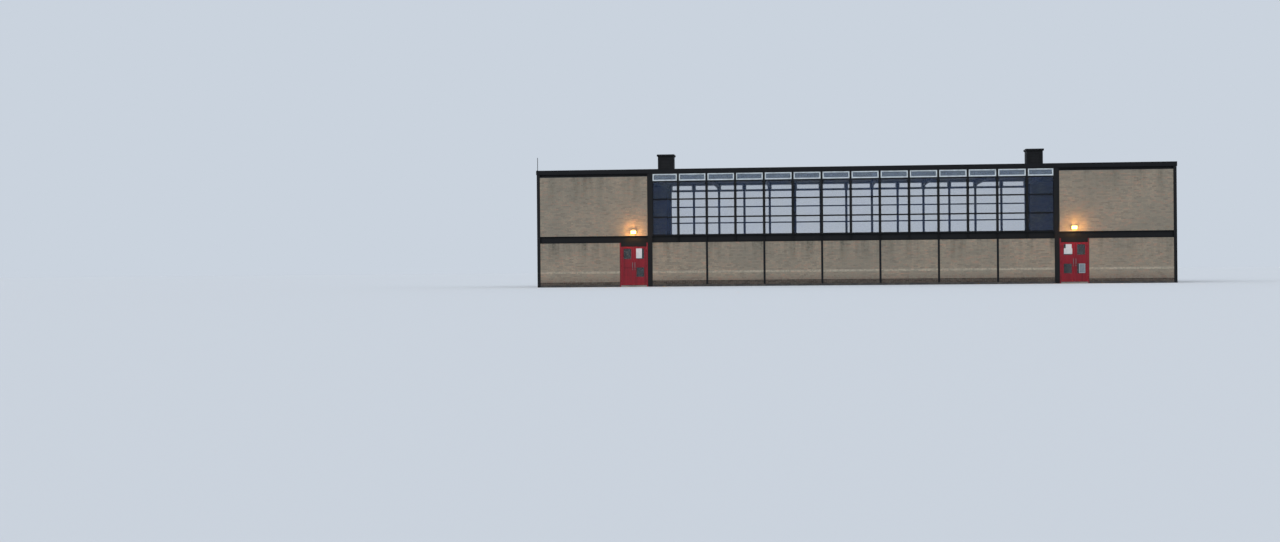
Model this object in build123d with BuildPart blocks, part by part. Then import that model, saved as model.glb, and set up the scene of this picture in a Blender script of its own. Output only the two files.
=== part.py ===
from build123d import *
import os

# School hall: a steel frame with brick panels, one long band of windows and two pairs of doors.
# Millimetres, Z up, front towards -Y, origin on the ground at the middle of the plan.

# Plan
bay = 1524.0  # one window bay
hall_bays = 14  # window bays between the two hall columns of a long wall
bays_per_panel = 2  # window bays over each brick panel of the hall
end_length = 6096.0  # brick block at each end, from a hall column's middle to the outer face
depth = 12192.0

# Heights
floor_top = 75.0
kerb_height = 110.0
beam_bottom = 2360.0
beam_depth = 365.0
hopper_bottom = 5650.0
hopper_height = 370.0
window_head = 35.0
eaves_beam_depth = 150.0
roof_channel_depth = 230.0

# Walls and their steel
brick_thickness = 215.0
flange = 12.0
web = 9.0
corner_side = 165.0
corner_wall = 10.0
column_width = 254.0
stanchion_width = 102.0

# Roof
channel_proud = 25.0  # the roof channel stands this far out from the steel below it
channel_width = 100.0
channel_wall = 12.0
deck_thickness = 120.0
roof_beam_depth = 300.0
roof_beam_width = 150.0
stack_side = 880.0
stack_height = 1160.0
stack_x = 10280.0
cap_overhang = 60.0
cap_thickness = 100.0
cap_bevel = 20.0
rod_radius = 16.0
rod_height = 700.0
rod_inset = 50.0
rod_foot_radius = 40.0
rod_foot_height = 12.0

# Window bands
mullion_width = 110.0
mullion_depth = 150.0
end_bar_width = 40.0
rail_height = 50.0
rail_depth = 90.0
pane_rows = 3
glass = 6.0
hopper_bar = 50.0
hopper_depth = 60.0
hopper_setback = 10.0

# Doors
door_opening = 1500.0
jamb_width = 60.0
jamb_depth = 110.0
stop_width = 12.0
leaf_thickness = 45.0
leaf_top = 2150.0
threshold_top = 85.0
edge_gap = 5.0
meeting_gap = 8.0
door_pane_width = 440.0
top_rail = 95.0
upper_pane_height = 575.0
middle_rail = 430.0
lower_pane_height = 530.0
panel_recess = 14.0  # where a leaf's lower pane is boarded, the board lies this far back

# Hinges and pull handles
knuckle_radius = 10.0
knuckle_height = 60.0
knuckle_gap = 0.3  # each upper knuckle turns this far above the lower one
flag_length = 45.0
flag_thickness = 4.0
hinge_inset = 230.0  # from the leaf's top or bottom edge to the nearest hinge
hinges_per_leaf = 3
handle_width = 28.0
handle_thickness = 8.0
handle_reach = 60.0
handle_length = 300.0
handle_bottom = 1000.0
handle_inset = 60.0
handle_bend = 25.0

# Wall lamps over the doors
lamp_width = 300.0
lamp_height = 230.0
lamp_reach = 160.0
lamp_foot_reach = 70.0
lamp_nose = 55.0
lamp_above_beam = 105.0
lens_rim = 20.0
lens_thickness = 14.0
lens_corner = 15.0

# Worked out from the sizes above
wall_depth = brick_thickness + 2 * flange
half_hall = hall_bays * bay / 2
half_length = half_hall + end_length
half_depth = depth / 2
wall_line = half_depth - wall_depth / 2
beam_top = beam_bottom + beam_depth
roof_channel_bottom = hopper_bottom + hopper_height + window_head
eaves_beam_bottom = roof_channel_bottom - eaves_beam_depth
roof_top = roof_channel_bottom + roof_channel_depth
deck_bottom = roof_channel_bottom + channel_wall
deck_top = deck_bottom + deck_thickness
panel_length = bays_per_panel * bay
hall_panels = hall_bays // bays_per_panel
window_half = half_hall - column_width / 2
door_inner_edge = half_hall + column_width / 2
door_outer_edge = door_inner_edge + door_opening
door_x = (door_inner_edge + door_outer_edge) / 2
clear_width = door_opening - 2 * jamb_width
leaf_width = (clear_width - 2 * edge_gap - meeting_gap) / 2
leaf_bottom = threshold_top + edge_gap
head_bottom = leaf_top + edge_gap
hinge_y = -half_depth - knuckle_radius
FRONT, BACK = -1, 1

# Spans along X between the columns of a long wall
end_runs = [(-half_length + corner_side, -door_inner_edge), (door_inner_edge, half_length - corner_side)]
hall_run = (-window_half, window_half)
# Spans along Y between the columns of a gable
gable_runs = [(-half_depth + corner_side, -column_width / 2), (column_width / 2, half_depth - corner_side)]


def i_outline(height, width):
    """Section of a rolled steel I: two flanges of the given width with a web between them."""
    Rectangle(web, height)
    with Locations((0, (height - flange) / 2), (0, (flange - height) / 2)):
        Rectangle(width, flange)


def beams_along_x(runs, sides, bottom, height):
    """Beams in the long walls, one for each run and side, their webs upright."""
    with BuildPart() as beams:
        for start, end in runs:
            with BuildSketch(Plane.YZ.offset(start)):
                with Locations(*[(side * wall_line, bottom + height / 2) for side in sides]):
                    i_outline(height, wall_depth)
            extrude(amount=end - start)
    return beams


def corner_cope(inner_depth, bottom, height):
    """Blocks that gable pieces give up where a long wall passes behind the corner column."""
    cope = inner_depth - corner_side
    middle = corner_side + cope / 2
    with BuildPart() as blocks:
        with BuildSketch(Plane.XY.offset(bottom)):
            with GridLocations(2 * (half_length - middle), 2 * (half_depth - middle), 2, 2):
                Rectangle(cope, cope)
        extrude(amount=height)
    return blocks.part


def beams_along_y(bottom, height):
    """Beams in the two gables, coped round the beams of the long walls at the corners."""
    cope = corner_cope(wall_depth, bottom, height)
    line = half_length - wall_depth / 2
    with BuildPart() as beams:
        for start, end in gable_runs:
            with BuildSketch(Plane.XZ.offset(-end)):
                with Locations((-line, bottom + height / 2), (line, bottom + height / 2)):
                    i_outline(height, wall_depth)
            extrude(amount=end - start)
        add(cope, mode=Mode.SUBTRACT)
    return beams


# Floor and kerbs
with BuildPart() as floor_slab:
    with BuildSketch():
        Rectangle(2 * (half_length - wall_depth), 2 * (half_depth - wall_depth))
    extrude(amount=floor_top)

# Beside the doors the front wall's ends start at the door frames
door_side_runs = [
    (-half_length + corner_side, -door_outer_edge),
    (door_outer_edge, half_length - corner_side),
]
with BuildPart() as long_kerbs:
    with BuildSketch():
        for start, end in [*door_side_runs, hall_run]:
            with Locations(((start + end) / 2, -wall_line)):
                Rectangle(end - start, wall_depth)
        for start, end in [*end_runs, hall_run]:
            with Locations(((start + end) / 2, wall_line)):
                Rectangle(end - start, wall_depth)
    extrude(amount=kerb_height)

kerb_cope = corner_cope(wall_depth, 0, kerb_height)
with BuildPart() as gable_kerbs:
    with BuildSketch():
        for start, end in gable_runs:
            with Locations((0, (start + end) / 2)):
                with GridLocations(2 * half_length - wall_depth, 1, 2, 1):
                    Rectangle(wall_depth, end - start)
    extrude(amount=kerb_height)
    add(kerb_cope, mode=Mode.SUBTRACT)

# Columns and stanchions
with BuildPart() as corner_columns:
    with BuildSketch():
        with GridLocations(2 * half_length - corner_side, depth - corner_side, 2, 2):
            Rectangle(corner_side, corner_side)
        with GridLocations(2 * half_length - corner_side, depth - corner_side, 2, 2):
            Rectangle(corner_side - 2 * corner_wall, corner_side - 2 * corner_wall, mode=Mode.SUBTRACT)
    extrude(amount=roof_channel_bottom)

with BuildPart() as hall_columns:
    with BuildSketch():
        with GridLocations(2 * half_hall, 2 * wall_line, 2, 2):
            i_outline(wall_depth, column_width)
    extrude(amount=roof_channel_bottom)

with BuildPart() as gable_columns:
    with BuildSketch():
        for side in (-1, 1):
            with Locations(Location((side * (half_length - wall_depth / 2), 0, 0), (0, 0, 90))):
                i_outline(wall_depth, column_width)
    extrude(amount=roof_channel_bottom)


def stanchion_row(side):
    """Light stanchions between the brick panels of one long wall."""
    with BuildPart() as row:
        with BuildSketch(Plane.XY.offset(kerb_height)):
            with Locations((0, side * wall_line)):
                with GridLocations(panel_length, 1, hall_panels - 1, 1):
                    i_outline(wall_depth, stanchion_width)
        extrude(amount=beam_bottom - kerb_height)
    return row


front_stanchions = stanchion_row(FRONT)
back_stanchions = stanchion_row(BACK)

# Beams in the walls
mid_beam_runs = [*end_runs, hall_run]
front_mid_beams = beams_along_x(mid_beam_runs, [FRONT], beam_bottom, beam_depth)
back_mid_beams = beams_along_x(mid_beam_runs, [BACK], beam_bottom, beam_depth)
gable_mid_beams = beams_along_y(beam_bottom, beam_depth)
eaves_beams = beams_along_x(end_runs, [FRONT, BACK], eaves_beam_bottom, eaves_beam_depth)
gable_eaves_beams = beams_along_y(eaves_beam_bottom, eaves_beam_depth)

# Brick panels, built in between the flanges of the columns
lower_height = beam_bottom - kerb_height
upper_height = eaves_beam_bottom - beam_top
end_brick_runs = [
    (-half_length + corner_side, -half_hall - web / 2),
    (half_hall + web / 2, half_length - corner_side),
]
with BuildPart() as front_end_brick_panels:
    with BuildSketch(Plane.XY.offset(kerb_height)):
        for start, end in door_side_runs:
            with Locations(((start + end) / 2, -wall_line)):
                Rectangle(end - start, brick_thickness)
    extrude(amount=lower_height)
    with BuildSketch(Plane.XY.offset(beam_top)):
        for start, end in end_brick_runs:
            with Locations(((start + end) / 2, -wall_line)):
                Rectangle(end - start, brick_thickness)
    extrude(amount=upper_height)

with BuildPart() as back_end_brick_panels:
    for bottom, height in ((kerb_height, lower_height), (beam_top, upper_height)):
        with BuildSketch(Plane.XY.offset(bottom)):
            for start, end in end_brick_runs:
                with Locations(((start + end) / 2, wall_line)):
                    Rectangle(end - start, brick_thickness)
        extrude(amount=height)



def hall_brick_row(side):
    """The brick panels of one long wall of the hall, between the webs of its stanchions."""
    with BuildPart() as row:
        with BuildSketch(Plane.XY.offset(kerb_height)):
            with Locations((0, side * wall_line)):
                with GridLocations(panel_length, 1, hall_panels, 1):
                    Rectangle(panel_length - web, brick_thickness)
        extrude(amount=lower_height)
    return row


front_hall_brick_panels = hall_brick_row(FRONT)
back_hall_brick_panels = hall_brick_row(BACK)

brick_cope = corner_cope(wall_depth - flange, 0, eaves_beam_bottom)
with BuildPart() as gable_brick_panels:
    for bottom, height in ((kerb_height, lower_height), (beam_top, upper_height)):
        with BuildSketch(Plane.XY.offset(bottom)):
            for start, end in [(gable_runs[0][0], -web / 2), (web / 2, gable_runs[1][1])]:
                with Locations((0, (start + end) / 2)):
                    with GridLocations(2 * half_length - wall_depth, 1, 2, 1):
                        Rectangle(brick_thickness, end - start)
        extrude(amount=height)
    add(brick_cope, mode=Mode.SUBTRACT)


# Window bands of the hall
bay_openings = []
for number in range(hall_bays):
    left = -half_hall + number * bay + mullion_width / 2
    right = -half_hall + (number + 1) * bay - mullion_width / 2
    if number == 0:
        left = -window_half + end_bar_width
    if number == hall_bays - 1:
        right = window_half - end_bar_width
    bay_openings.append((left, right))

pane_height = (hopper_bottom - beam_top - (pane_rows + 1) * rail_height) / pane_rows
rail_bottoms = [beam_top + row * (rail_height + pane_height) for row in range(pane_rows + 1)]


def window_frame(side):
    """Mullions at every bay with rails between them, from the mid beam to the roof channel."""
    line = side * (half_depth - mullion_depth / 2)
    with BuildPart() as frame:
        with BuildSketch(Plane.XY.offset(beam_top)):
            with Locations((0, line)):
                with GridLocations(bay, 1, hall_bays - 1, 1):
                    Rectangle(mullion_width, mullion_depth)
                with GridLocations(2 * window_half - end_bar_width, 1, 2, 1):
                    Rectangle(end_bar_width, mullion_depth)
        extrude(amount=roof_channel_bottom - beam_top)
        with BuildSketch(Plane.YZ.offset(-window_half)):
            with Locations(*[(line, bottom + rail_height / 2) for bottom in rail_bottoms]):
                Rectangle(rail_depth, rail_height)
            with Locations((line, roof_channel_bottom - window_head / 2)):
                Rectangle(rail_depth, window_head)
        extrude(amount=2 * window_half)
    return frame


def hopper_light(opening, mode):
    """Outline of the glass inside the bars of a hopper that fills an opening of this width."""
    Rectangle(opening - 2 * hopper_bar, hopper_height - 2 * hopper_bar, mode=mode)


def window_panes(side):
    """Panes of every row and bay, and the smaller ones that sit in the hopper frames."""
    line = side * (half_depth - mullion_depth / 2)
    hopper_line = side * (half_depth - hopper_setback - hopper_depth / 2)
    with BuildPart() as panes:
        with BuildSketch(Plane.XZ.offset(-line - glass / 2)):
            for left, right in bay_openings:
                for bottom in rail_bottoms[:-1]:
                    with Locations(((left + right) / 2, bottom + rail_height + pane_height / 2)):
                        Rectangle(right - left, pane_height)
        extrude(amount=glass)
        with BuildSketch(Plane.XZ.offset(-hopper_line - glass / 2)):
            for left, right in bay_openings:
                with Locations(((left + right) / 2, hopper_bottom + hopper_height / 2)):
                    hopper_light(right - left, Mode.ADD)
        extrude(amount=glass)
    return panes


def hopper_frames(side):
    """Light frames of the small hoppers under the roof channel, one in each bay."""
    hopper_line = side * (half_depth - hopper_setback - hopper_depth / 2)
    with BuildPart() as frames:
        with BuildSketch(Plane.XZ.offset(-hopper_line - hopper_depth / 2)):
            for left, right in bay_openings:
                with Locations(((left + right) / 2, hopper_bottom + hopper_height / 2)):
                    Rectangle(right - left, hopper_height)
                    hopper_light(right - left, Mode.SUBTRACT)
        extrude(amount=hopper_depth)
    return frames


front_window_frame = window_frame(FRONT)
front_window_panes = window_panes(FRONT)
front_hopper_frames = hopper_frames(FRONT)
back_window_frame = window_frame(BACK)
back_window_panes = window_panes(BACK)
back_hopper_frames = hopper_frames(BACK)


# Roof
def roof_channels(run, turn, offset):
    """The two channels of opposite roof edges, webs outwards, their ends mitred."""
    with BuildPart() as channels:
        with BuildSketch(Plane.YZ.offset(-run / 2)):
            with Locations((offset, roof_channel_bottom)):
                Rectangle(channel_width, roof_channel_depth, align=(Align.MIN, Align.MIN))
            with Locations((offset + channel_wall, roof_channel_bottom + channel_wall)):
                Rectangle(
                    channel_width - channel_wall,
                    roof_channel_depth - 2 * channel_wall,
                    align=(Align.MIN, Align.MIN),
                    mode=Mode.SUBTRACT,
                )
        extrude(amount=run)
        for end in (-1, 1):
            mitre = Plane(origin=(end * run / 2, offset, 0), z_dir=(end, 1, 0))
            split(bisect_by=mitre, keep=Keep.BOTTOM)
        mirror(about=Plane.XZ)
        if turn:
            add(channels.part.rotate(Axis.Z, turn), mode=Mode.REPLACE)
    return channels


edge_half_length = half_length + channel_proud
edge_half_depth = half_depth + channel_proud
long_roof_channels = roof_channels(2 * edge_half_length, 0, -edge_half_depth)
gable_roof_channels = roof_channels(2 * edge_half_depth, 90, -edge_half_length)

with BuildPart() as roof_deck:
    with BuildSketch(Plane.XY.offset(deck_bottom)):
        Rectangle(2 * (edge_half_length - channel_wall), 2 * (edge_half_depth - channel_wall))
    extrude(amount=deck_thickness)

hall_beam_lines = [-half_hall + number * panel_length for number in range(1, hall_panels)]
wall_beam_lines = [-half_hall - end_length / 2, -half_hall, half_hall, half_hall + end_length / 2]
beam_sets = [(hall_beam_lines, half_depth - mullion_depth), (wall_beam_lines, half_depth - wall_depth)]
with BuildPart() as roof_beams:
    for lines, reach in beam_sets:
        with BuildSketch(Plane.XZ.offset(-reach)):
            with Locations(*[(line, deck_bottom - roof_beam_depth / 2) for line in lines]):
                i_outline(roof_beam_depth, roof_beam_width)
        extrude(amount=2 * reach)

with BuildPart() as roof_stacks:
    with BuildSketch(Plane.XY.offset(deck_top)):
        with Locations((-stack_x, 0), (stack_x, 0)):
            Rectangle(stack_side, stack_side)
    extrude(amount=stack_height)

with BuildPart() as roof_stack_caps:
    with BuildSketch(Plane.XY.offset(deck_top + stack_height)):
        with Locations((-stack_x, 0), (stack_x, 0)):
            Rectangle(stack_side + 2 * cap_overhang, stack_side + 2 * cap_overhang)
    extrude(amount=cap_thickness)
    chamfer(roof_stack_caps.edges().group_by(Axis.Z)[-1], length=cap_bevel)

with BuildPart() as corner_rod:
    with BuildSketch(Plane.XY.offset(roof_top)):
        with Locations((-half_length + rod_inset, -half_depth + rod_inset)):
            Circle(rod_foot_radius)
    extrude(amount=rod_foot_height)
    with BuildSketch(Plane.XY.offset(roof_top)):
        with Locations((-half_length + rod_inset, -half_depth + rod_inset)):
            Circle(rod_radius)
    extrude(amount=rod_height)
    chamfer(corner_rod.edges().group_by(Axis.Z)[-1], length=rod_radius / 2)

# Door frames
jamb_line = (clear_width + jamb_width) / 2
stop_line = (clear_width - stop_width) / 2
stop_depth = jamb_depth - leaf_thickness - edge_gap
jamb_corners = [centre + hand * jamb_line for centre in (-door_x, door_x) for hand in (-1, 1)]
stop_corners = [centre + hand * stop_line for centre in (-door_x, door_x) for hand in (-1, 1)]
with BuildPart() as door_jambs:
    with BuildSketch():
        with Locations(*[(x, -half_depth + jamb_depth / 2) for x in jamb_corners]):
            Rectangle(jamb_width, jamb_depth)
    extrude(amount=beam_bottom)
    with BuildSketch():
        with Locations(*[(x, -half_depth + jamb_depth - stop_depth / 2) for x in stop_corners]):
            Rectangle(stop_width, stop_depth)
    extrude(amount=head_bottom)

with BuildPart() as door_heads:
    for centre in (-door_x, door_x):
        with BuildSketch(Plane.YZ.offset(centre - clear_width / 2)):
            with Locations((-half_depth, head_bottom)):
                Rectangle(jamb_depth, beam_bottom - head_bottom, align=(Align.MIN, Align.MIN))
        extrude(amount=clear_width)
        with BuildSketch(Plane.YZ.offset(centre - clear_width / 2 + stop_width)):
            with Locations((-half_depth + jamb_depth, head_bottom)):
                Rectangle(stop_depth, stop_width, align=(Align.MAX, Align.MAX))
        extrude(amount=clear_width - 2 * stop_width)

with BuildPart() as door_thresholds:
    with BuildSketch():
        for centre in (-door_x, door_x):
            with Locations((centre, -half_depth)):
                Rectangle(clear_width, jamb_depth - stop_depth, align=(Align.CENTER, Align.MIN))
            with Locations((centre, -half_depth + jamb_depth - stop_depth)):
                Rectangle(clear_width - 2 * stop_width, stop_depth, align=(Align.CENTER, Align.MIN))
            with Locations((centre, -half_depth + jamb_depth)):
                Rectangle(clear_width, wall_depth - jamb_depth, align=(Align.CENTER, Align.MIN))
    extrude(amount=threshold_top)

leaf_height = leaf_top - leaf_bottom
hinge_span = leaf_height - 2 * hinge_inset
hinge_step = hinge_span / (hinges_per_leaf - 1)
hinge_levels = [leaf_bottom + hinge_inset + number * hinge_step for number in range(hinges_per_leaf)]


def knuckle_outline(hinge_x, towards):
    """Plan of a hinge half: the round knuckle and the flag that lies on the face beside it."""
    with Locations((hinge_x, hinge_y)):
        Circle(knuckle_radius)
    with Locations((hinge_x + towards * flag_length / 2, -half_depth - flag_thickness / 2)):
        Rectangle(flag_length, flag_thickness)


with BuildPart() as door_hinge_barrels:
    for centre in (-door_x, door_x):
        for hand in (-1, 1):
            hinge_x = centre + hand * (clear_width - edge_gap) / 2
            for level in hinge_levels:
                with BuildSketch(Plane.XY.offset(level - knuckle_height)):
                    knuckle_outline(hinge_x, hand)
                extrude(amount=knuckle_height)


# Door leaves
upper_pane_middle = leaf_top - top_rail - upper_pane_height / 2
lower_pane_middle = leaf_top - top_rail - upper_pane_height - middle_rail - lower_pane_height / 2


def door_leaf(centre, hand, boarded):
    """One leaf, hinged on the side that hand names, with its upper halves of the hinges."""
    leaf_x = centre + hand * (meeting_gap + leaf_width) / 2
    hinge_x = centre + hand * (clear_width - edge_gap) / 2
    with BuildPart() as leaf:
        with BuildSketch(Plane.XZ.offset(half_depth - leaf_thickness)):
            with Locations((leaf_x, leaf_bottom + leaf_height / 2)):
                Rectangle(leaf_width, leaf_height)
            with Locations((leaf_x, upper_pane_middle)):
                Rectangle(door_pane_width, upper_pane_height, mode=Mode.SUBTRACT)
            if not boarded:
                with Locations((leaf_x, lower_pane_middle)):
                    Rectangle(door_pane_width, lower_pane_height, mode=Mode.SUBTRACT)
        extrude(amount=leaf_thickness)
        if boarded:
            for recess_front in (half_depth, half_depth - leaf_thickness + panel_recess):
                with BuildSketch(Plane.XZ.offset(recess_front)):
                    with Locations((leaf_x, lower_pane_middle)):
                        Rectangle(door_pane_width, lower_pane_height)
                extrude(amount=-panel_recess, mode=Mode.SUBTRACT)
        for level in hinge_levels:
            with BuildSketch(Plane.XY.offset(level + knuckle_gap)):
                knuckle_outline(hinge_x, -hand)
            extrude(amount=knuckle_height)
    return leaf


def door_glass(centre, hand, boarded):
    """Panes of one leaf, in the middle of its thickness."""
    leaf_x = centre + hand * (meeting_gap + leaf_width) / 2
    with BuildPart() as panes:
        with BuildSketch(Plane.XZ.offset(half_depth - leaf_thickness / 2 - glass / 2)):
            with Locations((leaf_x, upper_pane_middle)):
                Rectangle(door_pane_width, upper_pane_height)
            if not boarded:
                with Locations((leaf_x, lower_pane_middle)):
                    Rectangle(door_pane_width, lower_pane_height)
        extrude(amount=glass)
    return panes


def door_handle(centre, hand):
    """Pull bent from flat bar, on the outer face of the meeting stile."""
    handle_x = centre + hand * (meeting_gap / 2 + handle_inset)
    face = -half_depth
    with BuildPart() as handle:
        with BuildSketch(Plane.YZ.offset(handle_x - handle_width / 2)) as outline:
            with Locations((face, handle_bottom)):
                Rectangle(handle_reach, handle_length, align=(Align.MAX, Align.MIN))
            fillet(outline.vertices().group_by(Axis.Y)[0], radius=handle_bend)
            with Locations((face, handle_bottom + handle_thickness)):
                Rectangle(
                    handle_reach - handle_thickness,
                    handle_length - 2 * handle_thickness,
                    align=(Align.MAX, Align.MIN),
                    mode=Mode.SUBTRACT,
                )
            inner_face = face - handle_reach + handle_thickness
            inner_corners = outline.vertices().filter_by_position(Axis.Y, inner_face, inner_face)
            fillet(inner_corners, radius=handle_bend - handle_thickness)
        extrude(amount=handle_width)
    return handle


# Wall lamps: a wedge-shaped housing on the brick with its lens on the sloping front
lamp_back = -half_depth + flange
lamp_bottom = beam_top + lamp_above_beam
nose_low = (lamp_back - lamp_reach, lamp_bottom + lamp_height - lamp_nose)
foot_front = (lamp_back - lamp_foot_reach, lamp_bottom)
with BuildPart() as wall_lamp_housings:
    for centre in (-door_x, door_x):
        with BuildSketch(Plane.YZ.offset(centre - lamp_width / 2)):
            with BuildLine():
                Polyline(
                    (lamp_back, lamp_bottom),
                    (lamp_back, lamp_bottom + lamp_height),
                    (lamp_back - lamp_reach, lamp_bottom + lamp_height),
                    nose_low,
                    foot_front,
                    close=True,
                )
            make_face()
        extrude(amount=lamp_width)

slope = Vector(0, nose_low[0] - foot_front[0], nose_low[1] - foot_front[1])
with BuildPart() as wall_lamp_lenses:
    for centre in (-door_x, door_x):
        middle = (centre, (nose_low[0] + foot_front[0]) / 2, (nose_low[1] + foot_front[1]) / 2)
        with BuildSketch(Plane(origin=middle, x_dir=(1, 0, 0), z_dir=Vector(1, 0, 0).cross(slope))):
            RectangleRounded(lamp_width - 2 * lens_rim, slope.length - 2 * lens_rim, lens_corner)
        extrude(amount=lens_thickness)

pieces = {
    "floor_slab": floor_slab,
    "long_kerbs": long_kerbs,
    "gable_kerbs": gable_kerbs,
    "corner_columns": corner_columns,
    "hall_columns": hall_columns,
    "gable_columns": gable_columns,
    "front_stanchions": front_stanchions,
    "back_stanchions": back_stanchions,
    "front_mid_beams": front_mid_beams,
    "back_mid_beams": back_mid_beams,
    "gable_mid_beams": gable_mid_beams,
    "eaves_beams": eaves_beams,
    "gable_eaves_beams": gable_eaves_beams,
    "front_end_brick_panels": front_end_brick_panels,
    "front_hall_brick_panels": front_hall_brick_panels,
    "back_end_brick_panels": back_end_brick_panels,
    "back_hall_brick_panels": back_hall_brick_panels,
    "gable_brick_panels": gable_brick_panels,
    "front_window_frame": front_window_frame,
    "front_window_panes": front_window_panes,
    "front_hopper_frames": front_hopper_frames,
    "back_window_frame": back_window_frame,
    "back_window_panes": back_window_panes,
    "back_hopper_frames": back_hopper_frames,
    "long_roof_channels": long_roof_channels,
    "gable_roof_channels": gable_roof_channels,
    "roof_deck": roof_deck,
    "roof_beams": roof_beams,
    "roof_stacks": roof_stacks,
    "roof_stack_caps": roof_stack_caps,
    "corner_rod": corner_rod,
    "door_jambs": door_jambs,
    "door_heads": door_heads,
    "door_thresholds": door_thresholds,
    "door_hinge_barrels": door_hinge_barrels,
    "wall_lamp_housings": wall_lamp_housings,
    "wall_lamp_lenses": wall_lamp_lenses,
}
for door, centre in (("left_door", -door_x), ("right_door", door_x)):
    for leaf_side, hand in (("left", -1), ("right", 1)):
        boarded = (door, leaf_side) == ("left_door", "left")
        pieces[f"{door}_{leaf_side}_leaf"] = door_leaf(centre, hand, boarded)
        pieces[f"{door}_{leaf_side}_glass"] = door_glass(centre, hand, boarded)
        pieces[f"{door}_{leaf_side}_handle"] = door_handle(centre, hand)

os.makedirs("parts", exist_ok=True)
for name, piece in pieces.items():
    piece.part.label = name
    export_step(piece.part, f"parts/{name}.step")
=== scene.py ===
import math
import random

import bmesh
import bpy
from mathutils import Matrix, Vector


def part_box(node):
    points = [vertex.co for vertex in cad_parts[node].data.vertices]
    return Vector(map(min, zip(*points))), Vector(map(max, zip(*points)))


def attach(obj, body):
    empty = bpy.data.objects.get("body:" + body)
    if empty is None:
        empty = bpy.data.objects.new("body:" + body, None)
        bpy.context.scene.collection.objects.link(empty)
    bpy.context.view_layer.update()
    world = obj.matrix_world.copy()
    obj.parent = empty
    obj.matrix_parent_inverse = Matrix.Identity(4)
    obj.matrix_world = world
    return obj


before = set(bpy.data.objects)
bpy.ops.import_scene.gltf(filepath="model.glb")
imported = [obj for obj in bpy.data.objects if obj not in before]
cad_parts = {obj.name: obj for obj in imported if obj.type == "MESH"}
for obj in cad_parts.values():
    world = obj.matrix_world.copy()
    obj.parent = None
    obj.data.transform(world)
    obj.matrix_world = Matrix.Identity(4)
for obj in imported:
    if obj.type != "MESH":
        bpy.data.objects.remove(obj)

bl_info = {
    "name": "School hall",
    "version": (1, 0, 0),
    "blender": (4, 5, 0),
    "location": "3D View > Sidebar > School hall",
    "description": "Brickwork, glazing, roof covering, fittings and finishes of a steel-framed school hall",
    "category": "Object",
}

# Places read from the frame, in metres
HALF_LENGTH, HALF_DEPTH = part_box("corner_columns")[1].xy
HALL_COLUMN_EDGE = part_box("hall_columns")[1].x
KERB_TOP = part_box("long_kerbs")[1].z
MID_BEAM_BOTTOM, MID_BEAM_TOP = (corner.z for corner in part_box("front_mid_beams"))
EAVES_BEAM_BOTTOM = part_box("eaves_beams")[0].z
BRICK_FACE = -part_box("front_hall_brick_panels")[0].y
GABLE_BRICK_FACE = -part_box("gable_brick_panels")[0].x
DECK_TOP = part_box("roof_deck")[1].z
CHANNEL_LOW, CHANNEL_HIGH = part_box("long_roof_channels")
HOPPER_LOW, HOPPER_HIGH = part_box("front_hopper_frames")
STACK_X, _, STACK_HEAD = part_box("roof_stacks")[1]
THRESHOLD_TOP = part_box("door_thresholds")[1].z
LAMP_LOW, LAMP_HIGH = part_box("wall_lamp_housings")
ROD_LOW, ROD_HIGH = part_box("corner_rod")

# Sizes that the frame's own parts have, in metres
COLUMN_WIDTH = 0.254
CORNER_SIDE = 0.165
STANCHION_WIDTH = 0.102
BAY = 1.524
HALL_BAYS = 14
BAYS_PER_PANEL = 2
FLANGE = 0.012
WEB = 0.009
WALL_DEPTH = 0.239
CHANNEL_WIDTH = 0.100
STACK_SIDE = 0.880
HALF_HALL = HALL_BAYS * BAY / 2

MULLION_WIDTH = 0.110
MULLION_DEPTH = 0.150
END_BAR = 0.040
RAIL = 0.050
RAIL_DEPTH = 0.090
GLASS = 0.006
PANE_ROWS = 3
PANE_HEIGHT = (HOPPER_LOW.z - MID_BEAM_TOP - (PANE_ROWS + 1) * RAIL) / PANE_ROWS
PANE_LINE = HALF_DEPTH - MULLION_DEPTH / 2
WINDOW_LIGHT = HALL_COLUMN_EDGE - COLUMN_WIDTH - END_BAR
HOPPER_BAR = 0.050
HOPPER_LINE = -(HOPPER_LOW.y + HOPPER_HIGH.y) / 2
HOPPER_MIDDLE = (HOPPER_LOW.z + HOPPER_HIGH.z) / 2
HOPPER_GLASS = HOPPER_HIGH.z - HOPPER_LOW.z - 2 * HOPPER_BAR

DOOR_X = 11.545
DOOR_OPENING = 1.500
JAMB = 0.060
LEAF_WIDTH = 0.681
LEAF_THICKNESS = 0.045
LEAF_BOTTOM = 0.090
LEAF_TOP = 2.150
MEETING_GAP = 0.008
PANE_WIDTH = 0.440
UPPER_PANE = (1.480, 2.055)
LOWER_PANE = (0.520, 1.050)
BOARD_RECESS = 0.014
HANDLE_INSET = 0.060
HANDLE_ENDS = (1.012, 1.288)
HINGE_X = 0.6875
HINGE_Y = -6.106
HINGE_LEVELS = (0.320, 1.120, 1.920)
HINGE_FLAG_THICKNESS = 0.004
KNUCKLE_HEIGHT = 0.060
DOOR_CENTRES = {"left_door": -DOOR_X, "right_door": DOOR_X}
LEAF_HANDS = {"left": -1, "right": 1}
BOARDED_LEAF = "left_door_left"

# Each outer wall: how far it is turned from the front, and how far out its brick face lies
WALLS = {
    "front": (0, BRICK_FACE),
    "back": (180, BRICK_FACE),
    "left": (-90, GABLE_BRICK_FACE),
    "right": (90, GABLE_BRICK_FACE),
}
SIDE_TURNS = {"front": Matrix.Identity(4), "back": Matrix.Rotation(math.pi, 4, "Z")}
FACING_OUT = Matrix.Identity(4)
FACING_IN = Matrix.Rotation(math.pi, 4, "Y")

# Height of the pale line of salts along the walls
SALT_LEVEL = 0.785

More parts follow.
